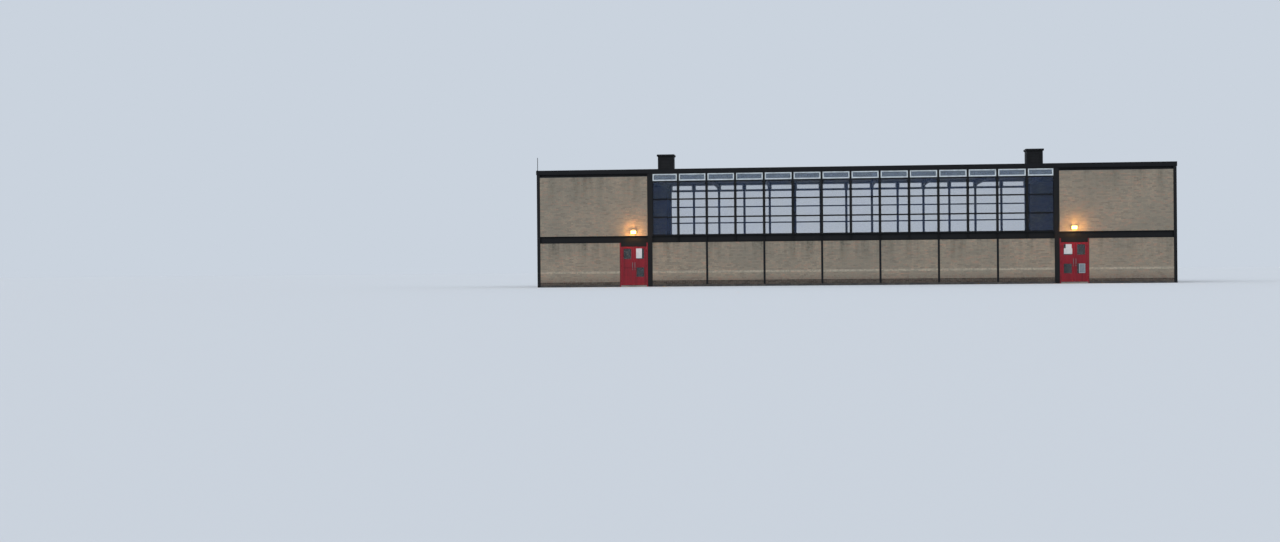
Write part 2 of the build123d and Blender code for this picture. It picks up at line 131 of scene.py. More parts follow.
# Top of the dark bricks on the kerb: two courses at the ends and gables, three under the windows
COURSE = 0.075
END_PLINTH_TOP = KERB_TOP + 2 * COURSE
HALL_PLINTH_TOP = KERB_TOP + 3 * COURSE

# Each bare notice: its leaf, its middle across and up, its width and height, and its finish
NOTICES = (
    ("left_door_right", -11.26, 1.79, 0.31, 0.52, "cockled card"),
    ("right_door_left", 11.22, 1.69, 0.42, 0.297, "cockled card"),
    ("right_door_left", 11.25, 1.946, 0.297, 0.21, "cockled card"),
    ("right_door_right", 11.93, 0.79, 0.31, 0.48, "faded grey card"),
)

# Points of a piece that lie closer than this are one
WELD = 0.00001

# The camera stands where the photographer stood
PHOTO_WIDTH = 1280
FOCAL_LENGTH_PIXELS = 1690.7
SENSOR_WIDTH = 36.0
CAMERA_PLACE = (-1.99, -96.036, 0.87)
CAMERA_YAW = math.radians(-5.858)
CAMERA_PITCH = math.radians(-0.015)
CAMERA_ROLL = math.radians(-0.498)

# The floor reaches almost to the horizon
FLOOR_RADIUS = 900.0


def linear(hex_colour):
    """Linear colour with full alpha of an sRGB hex value."""
    channels = [int(hex_colour[place:place + 2], 16) / 255 for place in (1, 3, 5)]
    return (*(c / 12.92 if c <= 0.04045 else ((c + 0.055) / 1.055) ** 2.4 for c in channels), 1.0)


def per_metre(millimetres):
    """Scale of a pattern whose features are this large."""
    return 1000 / millimetres


def length(name, description, default):
    """A length that a user may change, in metres."""
    return bpy.props.FloatProperty(
        name=name, description=description, default=default, min=0.0, precision=4, unit="LENGTH"
    )


def colour(name, description, default):
    """A colour that a user may change, given as sRGB hex."""
    return bpy.props.FloatVectorProperty(
        name=name, description=description, default=linear(default), min=0, max=1, size=4, subtype="COLOR"
    )


class SchoolHallSizes(bpy.types.PropertyGroup):
    brick_length: length("Brick length", "Length of a stretcher's face", 0.215)
    brick_height: length("Brick height", "Height of a brick's face", 0.065)
    joint: length("Mortar joint", "Width of the mortar joints", 0.010)
    brick_proud: length("Brick stands proud", "How far the brick faces stand out from the mortar", 0.004)
    bead_width: length("Glazing bead width", "Width of the beads round the panes", 0.014)
    bead_height: length("Glazing bead height", "How far the beads stand out from the glass", 0.012)
    felt_roll: length("Felt roll width", "Width of the roofing felt rolls", 1.0)
    felt_lap: length("Felt lap", "Overlap of neighbouring felt rolls", 0.075)
    felt_thickness: length("Felt thickness", "Thickness of the felt", 0.004)
    gear_radius: length("Hopper gear radius", "Radius of the tube that works the hoppers", 0.012)
    brick_seed: bpy.props.IntProperty(
        name="Brick seed", description="Mixes the bricks anew", default=7, min=0
    )
    lamp_power: bpy.props.FloatProperty(
        name="Lamp power", description="Power of the lamps over the doors", default=60, min=0, unit="POWER"
    )


class SchoolHallColours(bpy.types.PropertyGroup):
    brick: colour("Brick", "Main colour of the buff bricks", "#918473")
    brick_dark: colour("Dark brick", "Colour of the hardest-fired bricks", "#766b5f")
    brick_pink: colour("Pink brick", "Colour of the softest-fired bricks", "#997b69")
    mortar: colour("Mortar", "Colour of the cement mortar", "#827d76")
    steel: colour("Frame steel", "Paint on the steel frame", "#0e1013")
    roof_edge: colour("Roof edge", "Paint on the roof channels", "#090b0f")
    hopper: colour("Hopper paint", "Paint on the hopper frames", "#bcc6cc")
    door: colour("Door paint", "Gloss paint on the doors", "#781a26")
    glass: colour("Window glass", "Tint of the window glass", "#536589")
    felt: colour("Roof felt", "Mineral face of the roofing felt", "#525553")
    lamp: colour("Lamp light", "Light of the lamps over the doors", "#ffb45c")


def add_node(tree, kind, inputs=None, **settings):
    """Adds a shader node with its settings and links.

    An input is named, or numbered where names repeat. It gets a plain value, a socket, or another node,
    which stands for that node's first output in use.
    """
    node = tree.nodes.new(f"ShaderNode{kind}")
    for name, value in settings.items():
        setattr(node, name, value)
    for key, value in (inputs or {}).items():
        if isinstance(key, str):
            entry = next(entry for entry in node.inputs if entry.enabled and entry.name == key)
        else:
            entry = node.inputs[key]
        if isinstance(value, bpy.types.Node):
            value = next(output for output in value.outputs if output.enabled)
        if isinstance(value, bpy.types.NodeSocket):
            tree.links.new(value, entry)
        else:
            entry.default_value = value
    return node


def start_finish(name):
    """Starts a material, and gives back its node tree and the place on the object."""
    material = bpy.data.materials.new(name)
    material.use_nodes = True
    tree = material.node_tree
    tree.nodes.clear()
    return tree, add_node(tree, "TexCoord").outputs["Object"]


def end_finish(tree, inputs):
    """Ends a material with its one Principled shader."""
    shader = add_node(tree, "BsdfPrincipled", inputs)
    add_node(tree, "OutputMaterial", {"Surface": shader})


def weathered(tree, place, base, grain_mm, dirt, dirt_mm, bump_mm, roughness, contrast=0.15):
    """Grain, cloudy dirt, fine bump and uneven gloss over a base colour, as inputs of the shader.

    The contrast is how much lighter and darker the grain makes the colour.
    """
    grain = add_node(tree, "TexNoise", {"Vector": place, "Scale": per_metre(grain_mm), "Detail": 3.0})
    cloud = add_node(tree, "TexNoise", {"Vector": place, "Scale": per_metre(dirt_mm), "Detail": 4.0})
    patch = add_node(tree, "MapRange", {"Value": cloud, "From Min": 0.42, "From Max": 0.72})
    dirty = add_node(tree, "Mix", {"Factor": patch, "A": base, "B": linear(dirt)}, data_type="RGBA")
    speck = add_node(
        tree,
        "MapRange",
        {"Value": grain, "From Min": 0.3, "From Max": 0.7, "To Min": 1 - contrast, "To Max": 1 + contrast},
    )
    speckled = add_node(tree, "VectorMath", {0: dirty, "Scale": speck}, operation="SCALE")
    bump = add_node(tree, "Bump", {"Height": grain, "Strength": 0.5, "Distance": bump_mm / 1000})
    smooth, rough = roughness
    gloss = add_node(tree, "MapRange", {"Value": patch, "To Min": smooth, "To Max": rough})
    return {"Base Color": speckled, "Normal": bump, "Roughness": gloss}


def plain_finish(name, base, wear, shader=None, stretch=1.0):
    """Makes a finish that has no pattern but its wear, which the stretch can draw out upwards."""
    tree, place = start_finish(name)
    if stretch != 1.0:
        place = add_node(tree, "Mapping", {"Vector": place, "Scale": (1.0, 1.0, stretch)})
    end_finish(tree, weathered(tree, place, base, *wear) | (shader or {}))


def wall_dirt(tree, place, base):
    """Dirt that brick faces and mortar share: clouds, streaks under the beams, splashed feet and salts."""
    z = add_node(tree, "SeparateXYZ", {"Vector": place}).outputs["Z"]
    cloud = add_node(
        tree, "TexNoise", {"Vector": place, "Scale": per_metre(1700), "Detail": 5.0, "Roughness": 0.6}
    )
    cloudy = add_node(
        tree, "MapRange", {"Value": cloud, "From Min": 0.35, "From Max": 0.68, "To Max": 0.55}
    )

    drawn_out = add_node(tree, "Mapping", {"Vector": place, "Scale": (1.0, 1.0, 0.09)})
    streak = add_node(tree, "TexNoise", {"Vector": drawn_out, "Scale": per_metre(420), "Detail": 4.0})
    streaky = add_node(tree, "MapRange", {"Value": streak, "From Min": 0.46, "From Max": 0.68})
    lower = add_node(
        tree, "MapRange", {"Value": z, "From Min": 1.1, "From Max": MID_BEAM_BOTTOM, "To Max": 0.85}
    )
    is_lower = add_node(tree, "Math", {0: z, 1: MID_BEAM_TOP}, operation="LESS_THAN")
    under_beam = add_node(tree, "Math", {0: lower, 1: is_lower}, operation="MULTIPLY")
    under_roof = add_node(
        tree, "MapRange", {"Value": z, "From Min": 4.2, "From Max": EAVES_BEAM_BOTTOM, "To Max": 0.6}
    )
    reach = add_node(tree, "Math", {0: under_beam, 1: under_roof}, operation="MAXIMUM")
    wet = add_node(tree, "Math", {0: reach, 1: streaky}, operation="MULTIPLY")

    fade = {"From Min": 0.25, "From Max": 0.62, "To Min": 0.7, "To Max": 0.0}
    foot = add_node(tree, "MapRange", {"Value": z} | fade)

    above = add_node(tree, "Math", {0: z, 1: SALT_LEVEL}, operation="SUBTRACT")
    away = add_node(tree, "Math", {0: above}, operation="ABSOLUTE")
    fade = {"From Min": 0.04, "From Max": 0.07, "To Min": 0.6, "To Max": 0.0}
    band = add_node(tree, "MapRange", {"Value": away} | fade)
    salt = add_node(tree, "Math", {0: band, 1: cloud}, operation="MULTIPLY")

    wall = base
    for amount, dirt in ((cloudy, "#6b6860"), (wet, "#45463f"), (foot, "#5f4c45"), (salt, "#c9c2b0")):
        wall = add_node(tree, "Mix", {"Factor": amount, "A": wall, "B": linear(dirt)}, data_type="RGBA")
    return wall


def make_facing_brick(colours):
    # Sand-faced buff bricks: matt and grainy, each one fired to a slightly different tone
    # The lowest courses are dark engineering bricks, which keep the damp out
    tree, place = start_finish("facing brick")
    fired = add_node(tree, "Attribute", attribute_name="shade").outputs["Fac"]
    hard = add_node(tree, "MapRange", {"Value": fired, "From Max": 0.5})
    soft = add_node(tree, "MapRange", {"Value": fired, "From Min": 0.72, "To Max": 0.9})
    base = add_node(
        tree, "Mix", {"Factor": hard, "A": colours.brick_dark, "B": colours.brick}, data_type="RGBA"
    )
    base = add_node(tree, "Mix", {"Factor": soft, "A": base, "B": colours.brick_pink}, data_type="RGBA")
    wall = wall_dirt(tree, place, base)
    brick = weathered(tree, place, wall, 6, "#7b776b", 90, 0.8, (0.9, 0.97))
    x, _, z = add_node(tree, "SeparateXYZ", {"Vector": place}).outputs
    along = add_node(tree, "Math", {0: x}, operation="ABSOLUTE")
    in_hall = add_node(tree, "Math", {0: along, 1: HALL_COLUMN_EDGE}, operation="LESS_THAN")
    top = add_node(tree, "Mix", {"Factor": in_hall, "A": END_PLINTH_TOP, "B": HALL_PLINTH_TOP})
    in_plinth = add_node(tree, "Math", {0: z, 1: top}, operation="LESS_THAN")
    dark = add_node(tree, "MapRange", {"Value": fired, "To Min": 0.22, "To Max": 0.4})
    tone = add_node(tree, "Mix", {"Factor": in_plinth, "A": 1.0, "B": dark})
    toned = add_node(tree, "VectorMath", {0: brick["Base Color"], "Scale": tone}, operation="SCALE")
    end_finish(tree, brick | {"Base Color": toned})


def make_brick_backing(colours):
    # Cement mortar at the outer face; inside, the same bricks laid flush, seen through the windows
    outer_skin = 0.1
    tree, place = start_finish("mortar and inner brick")
    x, y, z = add_node(tree, "SeparateXYZ", {"Vector": place}).outputs
    run = add_node(tree, "Math", {0: x, 1: y}, operation="ADD")
    flat = add_node(tree, "CombineXYZ", {"X": run, "Y": z})
    # One row is a 65 mm brick with its 10 mm joint, and a brick with its joint is three rows long
    inner = add_node(
        tree,
        "TexBrick",
        {
            "Vector": flat,
            "Color1": colours.brick,
            "Color2": colours.brick_dark,
            "Mortar": colours.mortar,
            "Scale": per_metre(75),
            "Mortar Size": 0.067,
            "Brick Width": 3.0,
            "Row Height": 1.0,
        },
    )
    across = add_node(tree, "Math", {0: y}, operation="ABSOLUTE")
    along = add_node(tree, "Math", {0: x}, operation="ABSOLUTE")
    out_y = add_node(tree, "Math", {0: across, 1: BRICK_FACE - outer_skin}, operation="GREATER_THAN")
    out_x = add_node(
        tree, "Math", {0: along, 1: GABLE_BRICK_FACE - outer_skin}, operation="GREATER_THAN"
    )
    outer = add_node(tree, "Math", {0: out_y, 1: out_x}, operation="MAXIMUM")
    base = add_node(tree, "Mix", {"Factor": outer, "A": inner, "B": colours.mortar}, data_type="RGBA")
    wall = wall_dirt(tree, place, base)
    end_finish(tree, weathered(tree, place, wall, 4, "#6f6c66", 160, 0.6, (0.92, 0.98)))


def make_frame_steel(colours):
    # Near-black paint on rolled steel: satin, dulled by dust, with a few rusty specks
    tree, place = start_finish("painted frame steel")
    rust = add_node(tree, "TexNoise", {"Vector": place, "Scale": per_metre(70), "Detail": 6.0})
    speck = add_node(tree, "MapRange", {"Value": rust, "From Min": 0.68, "From Max": 0.74})
    base = add_node(
        tree, "Mix", {"Factor": speck, "A": colours.steel, "B": linear("#3d2a20")}, data_type="RGBA"
    )
    paint = weathered(tree, place, base, 12, "#15171a", 320, 0.2, (0.5, 0.75), 0.1)
    end_finish(tree, paint | {"IOR": 1.5, "Specular IOR Level": 0.16})


def make_felt(colours):
    # Mineral-faced roofing felt: grey chippings bedded in bitumen, rolls of slightly different age
    # The real chippings are 1 to 2 mm; they are drawn 12 mm across so that they show
    tree, place = start_finish("mineral roofing felt")
    aged = add_node(tree, "Attribute", attribute_name="shade").outputs["Fac"]
    roll = add_node(
        tree, "Mix", {"Factor": aged, "A": colours.felt, "B": linear("#6d706c")}, data_type="RGBA"
    )
    chips = add_node(tree, "TexVoronoi", {"Vector": place, "Scale": per_metre(12)}).outputs["Color"]
    grey = add_node(tree, "SeparateColor", {"Color": chips})
    base = add_node(
        tree, "Mix", {"Factor": 0.35, "A": roll, "B": grey}, data_type="RGBA", blend_type="SOFT_LIGHT"
    )
    end_finish(tree, weathered(tree, place, base, 12, "#565956", 1300, 2.0, (0.9, 0.97)))


def make_door_glass(colours):
    # Wired glass with its square mesh of fine wires; its dark, half-opaque base colour is painted shade
    # that stands for the unlit lobby behind
    # The wires are 12.5 mm apart as in the real glass, and 1.2 mm thick instead of 0.5 mm so that they show
    tree, place = start_finish("wired door glass")
    x, _, z = add_node(tree, "SeparateXYZ", {"Vector": place}).outputs
    flat = add_node(tree, "CombineXYZ", {"X": x, "Y": z})
    wires = add_node(
        tree,
        "TexBrick",
        {
            "Vector": flat,
            # The two dark colours between the wires are painted shade of the unlit lobby seen through the
            # glass
            "Color1": linear("#1a2026"),
            "Color2": linear("#1f262d"),
            "Mortar": linear("#8a9096"),
            "Scale": per_metre(12.5),
            "Mortar Size": 0.048,
            "Mortar Smooth": 0.0,
            "Brick Width": 1.0,
            "Row Height": 1.0,
        },
        offset=0.0,
    )
    glass = weathered(tree, place, wires, 90, "#2a3036", 300, 0.1, (0.08, 0.2))
    end_finish(tree, glass | {"IOR": 1.5, "Alpha": 0.5})


def make_lamp_lens(colours):
    # Ribbed acrylic diffuser, lit warm from inside, a little yellowed
    tree, place = start_finish("ribbed lamp diffuser")
    lens = weathered(tree, place, linear("#f1dcae"), 30, "#e2c78e", 120, 0.1, (0.2, 0.35), 0.03)
    # The ribs are 20 mm apart; a wave texture has its bands 2 pi / 20 of its unit apart
    scale = per_metre(20 * math.pi)
    ribs = add_node(tree, "TexWave", {"Vector": place, "Scale": scale}, bands_direction="Z")
    bump = add_node(tree, "Bump", {"Height": ribs, "Strength": 0.6, "Distance": 0.002})
    end_finish(tree, lens | {"Normal": bump, "Emission Color": colours.lamp, "Emission Strength": 9.0})


def make_plain_finishes(colours):
    """Makes the finishes that need no pattern of their own.

    The wear of each is the size of its grain in mm, the colour and size in mm of its dirt, its bump in mm,
    its roughness where clean and where dirty, and the contrast of its grain where that isn't the usual one.
    """
    dull_paint = {"IOR": 1.5, "Specular IOR Level": 0.16}
    bare_metal = {"Metallic": 1.0}

    # The darkest paint of the building, on the roof channels: smooth, a little chalky on top
    wear = (10, "#111317", 450, 0.15, (0.55, 0.7))
    plain_finish("painted roof edge", colours.roof_edge, wear, dull_paint)

    # Dark painted sheet on the stacks: flat and streaked by rain
    wear = (18, "#191c20", 240, 0.2, (0.55, 0.7))
    plain_finish("painted stack sheet", linear("#0f1115"), wear, dull_paint, stretch=0.12)

    # Bituminous paint on a cast kerb: flat black-brown, splashed and scuffed grey
    plain_finish("bitumen-painted kerb", linear("#2a2a2b"), (8, "#4a4742", 240, 1.2, (0.75, 0.9)))

    # Trowelled floor screed: pale grey, faintly polished where people walk
    plain_finish("trowelled screed", linear("#77756f"), (9, "#5f5d58", 700, 0.4, (0.45, 0.7)))

    # Wood-wool slabs under the roof: coarse matt strands in a dull cement grey
    plain_finish("woodwool slab", linear("#6a675e"), (14, "#57554e", 300, 3.0, (0.92, 0.98)))

    # Bitumen squeezed out of the felt's laps: black and glossy, crazed by the sun
    plain_finish("bitumen bleed", linear("#1b1c1d"), (15, "#2c2d2d", 120, 0.5, (0.35, 0.6)))

    # Milled lead: soft blue-grey, dulled in patches
    wear = (20, "#8b9196", 180, 0.5, (0.5, 0.7))
    plain_finish("milled lead", linear("#6d7379"), wear, {"Metallic": 0.4})

    # Chalky pale grey-white paint on steel hopper frames, grubby in patches
    wear = (9, "#98a1a6", 210, 0.15, (0.55, 0.75), 0.05)
    plain_finish("pale hopper paint", colours.hopper, wear, {"IOR": 1.5})

    # Drawn sheet glass: clear with a cool tint, faintly rippled, its sharp reflections dulled by dust
    wear = (150, "#5e6c7e", 700, 0.1, (0.03, 0.12), 0.05)
    plain_finish("drawn sheet glass", colours.glass, wear, {"IOR": 1.5, "Alpha": 0.12})

    # Rolled obscured glass behind the hoppers' panes: milky grey-blue, softly hammered
    wear = (12, "#717f89", 250, 0.8, (0.35, 0.5), 0.05)
    plain_finish("rolled obscured glass", linear("#808e9b"), wear, {"IOR": 1.5, "Alpha": 0.5})

    # Dark red gloss paint brushed on timber: shiny, with brush marks along the boards
    wear = (7, "#5c1620", 160, 0.15, (0.3, 0.5), 0.1)
    gloss_paint = {"IOR": 1.5, "Specular IOR Level": 0.2}
    plain_finish("red gloss paint", colours.door, wear, gloss_paint, stretch=0.08)

    # Satin stainless steel: fine brushed lines along the bar and soft highlights
    wear = (0.8, "#6c6f72", 30, 0.02, (0.35, 0.5))
    plain_finish("satin stainless", linear("#77797b"), wear, bare_metal, stretch=0.02)

    # Zinc-plated screws and fixings: dull bright metal with a crystalline bloom
    plain_finish("zinc plating", linear("#8f9397"), (2, "#6f7275", 15, 0.1, (0.4, 0.55)), bare_metal)

    # Cast aluminium lamp body under dark grey paint, with a fine orange-peel surface
    wear = (2, "#4a4b4c", 60, 0.2, (0.45, 0.6))
    plain_finish("painted lamp casting", linear("#3a3c3e"), wear, {"IOR": 1.5})

    # Black rubbery sealant and gaskets: dull, with a dusty skin
    plain_finish("black mastic", linear("#1a1a1b"), (5, "#2b2a29", 60, 0.3, (0.8, 0.92)))

    # Bare card behind clear film: dulled white, slightly cockled by damp
    wear = (60, "#a7adb4", 120, 1.5, (0.3, 0.45), 0.03)
    plain_finish("cockled card", linear("#b3b9c0"), wear, {"IOR": 1.45})

    # Older card gone slate grey in its holder, its film dull
    wear = (50, "#606b75", 90, 1.0, (0.4, 0.55), 0.03)
    plain_finish("faded grey card", linear("#6a7680"), wear, {"IOR": 1.45})


FINISH_MAKERS = (
    make_facing_brick,
    make_brick_backing,
    make_frame_steel,
    make_felt,
    make_door_glass,
    make_lamp_lens,
    make_plain_finishes,
)

# The finish of each node of the frame, by the words in its name; the first match counts
NODE_FINISHES = {
    "brick": "mortar and inner brick",
    "window_panes": "drawn sheet glass",
    "_glass": "wired door glass",
    "_leaf": "red gloss paint",
    "door_jambs": "red gloss paint",
    "hinge_barrels": "red gloss paint",
    "_handle": "satin stainless",
    "hopper": "pale hopper paint",
    "kerb": "bitumen-painted kerb",
    "floor_slab": "trowelled screed",
    "threshold": "trowelled screed",
    "roof_deck": "woodwool slab",
    "roof_stack": "painted stack sheet",
    "roof_channels": "painted roof edge",
    "lamp_housings": "painted lamp casting",
    "lamp_lenses": "ribbed lamp diffuser",
    "": "painted frame steel",
}


def everything(bm):
    """All that a piece has so far."""
    return bm.verts[:] + bm.edges[:] + bm.faces[:]


def only(kind, items):
    """The items of one kind, in their order."""
    return [item for item in items if isinstance(item, kind)]


def block(bm, corner, opposite):
    """Adds a box between two opposite corners, and gives back its vertices."""
    corner, opposite = Vector(corner), Vector(opposite)
    size = [abs(side) for side in opposite - corner]
    matrix = Matrix.Translation((corner + opposite) / 2) @ Matrix.Diagonal((*size, 1.0))
    return bmesh.ops.create_cube(bm, size=1.0, matrix=matrix)["verts"]


def centred_block(bm, x, half, near, far):
    """Adds a box that reaches as far to the left of x as to the right, between two places (y, z)."""
    return block(bm, (x - half, *near), (x + half, *far))


def lift(bm, verts, height, side):
    """Lifts the vertices on one side of a box's middle. The side has a sign or 0 for each axis."""
    middle = sum((vert.co for vert in verts), Vector()) / len(verts)
    lifted = []
    for vert in verts:
        if all(sign * away >= 0 for sign, away in zip(side, vert.co - middle)):
            lifted.append(vert)
    bmesh.ops.translate(bm, vec=(0, 0, height), verts=lifted)


def tube(bm, start, end, radius, segments=12):
    """Adds a closed cylinder from one point to another."""
    start, end = Vector(start), Vector(end)
    along = end - start
    turn = along.to_track_quat("Z", "Y").to_matrix().to_4x4()
    bmesh.ops.create_cone(
        bm,
        cap_ends=True,
        segments=segments,
        radius1=radius,
        radius2=radius,
        depth=along.length,
        matrix=Matrix.Translation((start + end) / 2) @ turn,
    )


def mitred_frame(bm, width, height, profile, place):
    """Adds a mitred frame. The profile's points are (how far in from the outer edge, how far up)."""
    part = bmesh.new()
    signs = ((-1, -1), (1, -1), (1, 1), (-1, 1))
    inset, level = profile[0]
    corners = [part.verts.new((x * (width / 2 - inset), y * (height / 2 - inset), level)) for x, y in signs]
    loop = [part.edges.new((corners[number - 1], corners[number])) for number in range(4)]
    for inset, level in profile[1:] + profile[:1]:
        grown = bmesh.ops.extrude_edge_only(part, edges=loop)["geom"]
        corners = set(only(bmesh.types.BMVert, grown))
        loop = [edge for edge in only(bmesh.types.BMEdge, grown) if set(edge.verts) <= corners]
        for vert in corners:
            x, y = math.copysign(width / 2 - inset, vert.co.x), math.copysign(height / 2 - inset, vert.co.y)
            vert.co = (x, y, level)
    bmesh.ops.remove_doubles(part, verts=part.verts, dist=WELD)
    join(bm, part, place)


def to_mesh(bm, name):
    """Turns what has been built into a mesh."""
    mesh = bpy.data.meshes.new(name)
    bm.to_mesh(mesh)
    bm.free()
    return mesh


def add_object(name, data):
    """Adds an object with this mesh, light or camera to the scene."""
    added = bpy.data.objects.new(name, data)
    bpy.context.scene.collection.objects.link(added)
    return added


def join(bm, part, place=Matrix.Identity(4)):
    """Moves a part to its place and adds it to a piece."""
    bmesh.ops.transform(part, matrix=place, verts=part.verts)
    mesh = to_mesh(part, "part")
    bm.from_mesh(mesh)
    bpy.data.meshes.remove(mesh)


def repeat(bm, copies, step=(0, 0, 0), turn=0.0):
    """Repeats everything so far in a straight row, or round the Z axis by a turn that is shared out."""
    if copies > 0:
        bmesh.ops.spin(
            bm,
            geom=everything(bm),
            cent=(0, 0, 0),
            axis=(0, 0, 1),
            dvec=step,
            angle=turn,
            steps=copies,
            use_duplicate=True,
        )


def trim(bm, point, normal):
    """Cuts off what lies beyond a plane and closes the cut."""
    cut = bmesh.ops.bisect_plane(
        bm, geom=everything(bm), dist=WELD, plane_co=point, plane_no=normal, clear_outer=True
    )
    bmesh.ops.holes_fill(bm, edges=only(bmesh.types.BMEdge, cut["geom_cut"]), sides=4)


def on_front(x, y, z):
    """Stands a part that lies in the XY plane upright in the front wall, its top facing outwards."""
    return Matrix.Translation((x, y, z)) @ Matrix.Rotation(math.radians(90), 4, "X")


def on_wall(wall):
    """Turns a part made for the front, with the brick face at y = 0, onto a wall."""
    turn, reach = WALLS[wall]
    return Matrix.Rotation(math.radians(turn), 4, "Z") @ Matrix.Translation((0, -reach, 0))


def add_piece(name, bm, finish, body="building"):
    """Makes a mesh object of a piece, with its finish and the body it rides on."""
    bmesh.ops.recalc_face_normals(bm, faces=bm.faces)
    mesh = to_mesh(bm, name)
    mesh.materials.append(bpy.data.materials[finish])
    piece = add_object(name, mesh)
    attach(piece, body)


def brick_panel(start, end, bottom, top, sizes, draw):
    """Stretcher bond that fills one opening of the frame, facing -Y with the mortar's plane at y = 0."""
    rounding, scatter, corners_per_brick = 0.01, 0.0012, 8
    pitch = sizes.brick_length + sizes.joint
    course = sizes.brick_height + sizes.joint
    across = math.ceil((end - start) / pitch) + 1
    courses = int((top - bottom) / course + rounding)
    if courses < 1:
        raise ValueError("An opening has no room for a course of bricks")
    pairs = math.ceil(courses / 2)
    bed = bottom + sizes.joint / 2
    part = bmesh.new()
    shade = part.verts.layers.float.new("shade")
    first = (start, -sizes.brick_proud, bed)
    block(part, first, (start + sizes.brick_length, sizes.brick_proud, bed + sizes.brick_height))
    repeat(part, across - 1, (pitch, 0, 0))
    upper = bmesh.ops.duplicate(part, geom=everything(part))["geom"]
    bmesh.ops.translate(part, vec=(-pitch / 2, 0, course), verts=only(bmesh.types.BMVert, upper))
    repeat(part, pairs - 1, (0, 0, 2 * course))
    part.verts.ensure_lookup_table()
    for corner in range(0, len(part.verts), corners_per_brick):
        fired, out = draw.random(), draw.uniform(-scatter, scatter)
        for vert in part.verts[corner:corner + corners_per_brick]:
            vert[shade] = fired
            vert.co.y += out if vert.co.y < 0 else 0.0
    trim(part, (start + sizes.joint / 2, 0, 0), (-1, 0, 0))
    trim(part, (end - sizes.joint / 2, 0, 0), (1, 0, 0))
    if courses < 2 * pairs:
        trim(part, (0, 0, bottom + courses * course), (0, 0, 1))
    return part


def brick_openings():
    """Where each wall shows brick: start and end along the wall, bottom and top."""
    lower, upper = (KERB_TOP, MID_BEAM_BOTTOM), (MID_BEAM_TOP, EAVES_BEAM_BOTTOM)
    corner_edge = HALF_LENGTH - CORNER_SIDE
    door_edge = DOOR_X + DOOR_OPENING / 2
    panel = BAYS_PER_PANEL * BAY
    window_edge = HALL_COLUMN_EDGE - COLUMN_WIDTH
    hall = []
    for number in range(HALL_BAYS // BAYS_PER_PANEL):
        start = -HALF_HALL + number * panel + STANCHION_WIDTH / 2
        end = start + panel - STANCHION_WIDTH
        hall.append((max(start, -window_edge), min(end, window_edge), *lower))
    ends, back_ends, gable = [], [], []
    for side in (-1, 1):
        near, far = sorted((side * HALL_COLUMN_EDGE, side * corner_edge))
        ends += [(*sorted((side * door_edge, side * corner_edge)), *lower), (near, far, *upper)]
        back_ends += [(near, far, *lower), (near, far, *upper)]
        near, far = sorted((side * COLUMN_WIDTH / 2, side * (HALF_DEPTH - CORNER_SIDE)))
        gable += [(near, far, *lower), (near, far, *upper)]
    return {
        "front_hall": ("front", hall),
        "front_end": ("front", ends),
        "back_hall": ("back", hall),
        "back_end": ("back", back_ends),
        "left_gable": ("left", gable),
        "right_gable": ("right", gable),
    }


def pane_bays():
    """Left and right edges of the panes in each bay."""
    bays = []
    for number in range(HALL_BAYS):
        left = -HALF_HALL + number * BAY + MULLION_WIDTH / 2
        right = left + BAY - MULLION_WIDTH
        bays.append((max(left, -WINDOW_LIGHT), min(right, WINDOW_LIGHT)))
    return bays


class SCHOOL_HALL_OT_finishes(bpy.types.Operator):
    """Makes the finishes and puts them on the frame's own parts"""

    bl_idname = "school_hall.finishes"
    bl_label = "Finishes"

    def execute(self, context):
        for make in FINISH_MAKERS:
            make(context.scene.school_hall_colours)
        for name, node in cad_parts.items():
            finish = next(finish for word, finish in NODE_FINISHES.items() if word in name)
            node.data.materials.clear()
            node.data.materials.append(bpy.data.materials[finish])
        return {"FINISHED"}


class SCHOOL_HALL_OT_brickwork(bpy.types.Operator):
    """Lays the brick faces in every opening of the frame"""

    bl_idname = "school_hall.brickwork"
    bl_label = "Brickwork"

    def execute(self, context):
        sizes = context.scene.school_hall_sizes
        draw = random.Random(sizes.brick_seed)
        for name, (wall, openings) in brick_openings().items():
            bm = bmesh.new()
            bm.verts.layers.float.new("shade")
            for opening in openings:
                join(bm, brick_panel(*opening, sizes, draw), on_wall(wall))
            add_piece(f"{name}_bricks", bm, "facing brick")
        return {"FINISHED"}


class SCHOOL_HALL_OT_wall_joints(bpy.types.Operator):
    """Seals the brick panels to the frame with mastic and sets weep vents in their lowest joints"""

    bl_idname = "school_hall.wall_joints"
    bl_label = "Wall joints"

    def execute(self, context):
        mastic, weeps = bmesh.new(), bmesh.new()
        inside, seal, seal_proud = 0.002, 0.005, 0.003
        vent_width, vent_height, vent_proud = 0.010, 0.066, 0.0035
        vent_step, vent_rise = 0.9, 0.004
        for wall, openings in brick_openings().values():
            seals, vents = bmesh.new(), bmesh.new()
            for start, end, bottom, top in openings:
                block(seals, (start, -seal_proud, bottom), (start + seal, inside, top))
                block(seals, (end - seal, -seal_proud, bottom), (end, inside, top))
                foot = bottom + vent_rise
                for number in range(1, int((end - start) / vent_step) + 1):
                    right = start + number * vent_step
                    low = (right - vent_width, -vent_proud, foot)
                    block(vents, low, (right, inside, foot + vent_height))
            join(mastic, seals, on_wall(wall))
            join(weeps, vents, on_wall(wall))
        add_piece("column_mastic_joints", mastic, "black mastic")
        add_piece("weep_vents", weeps, "black mastic")
        return {"FINISHED"}


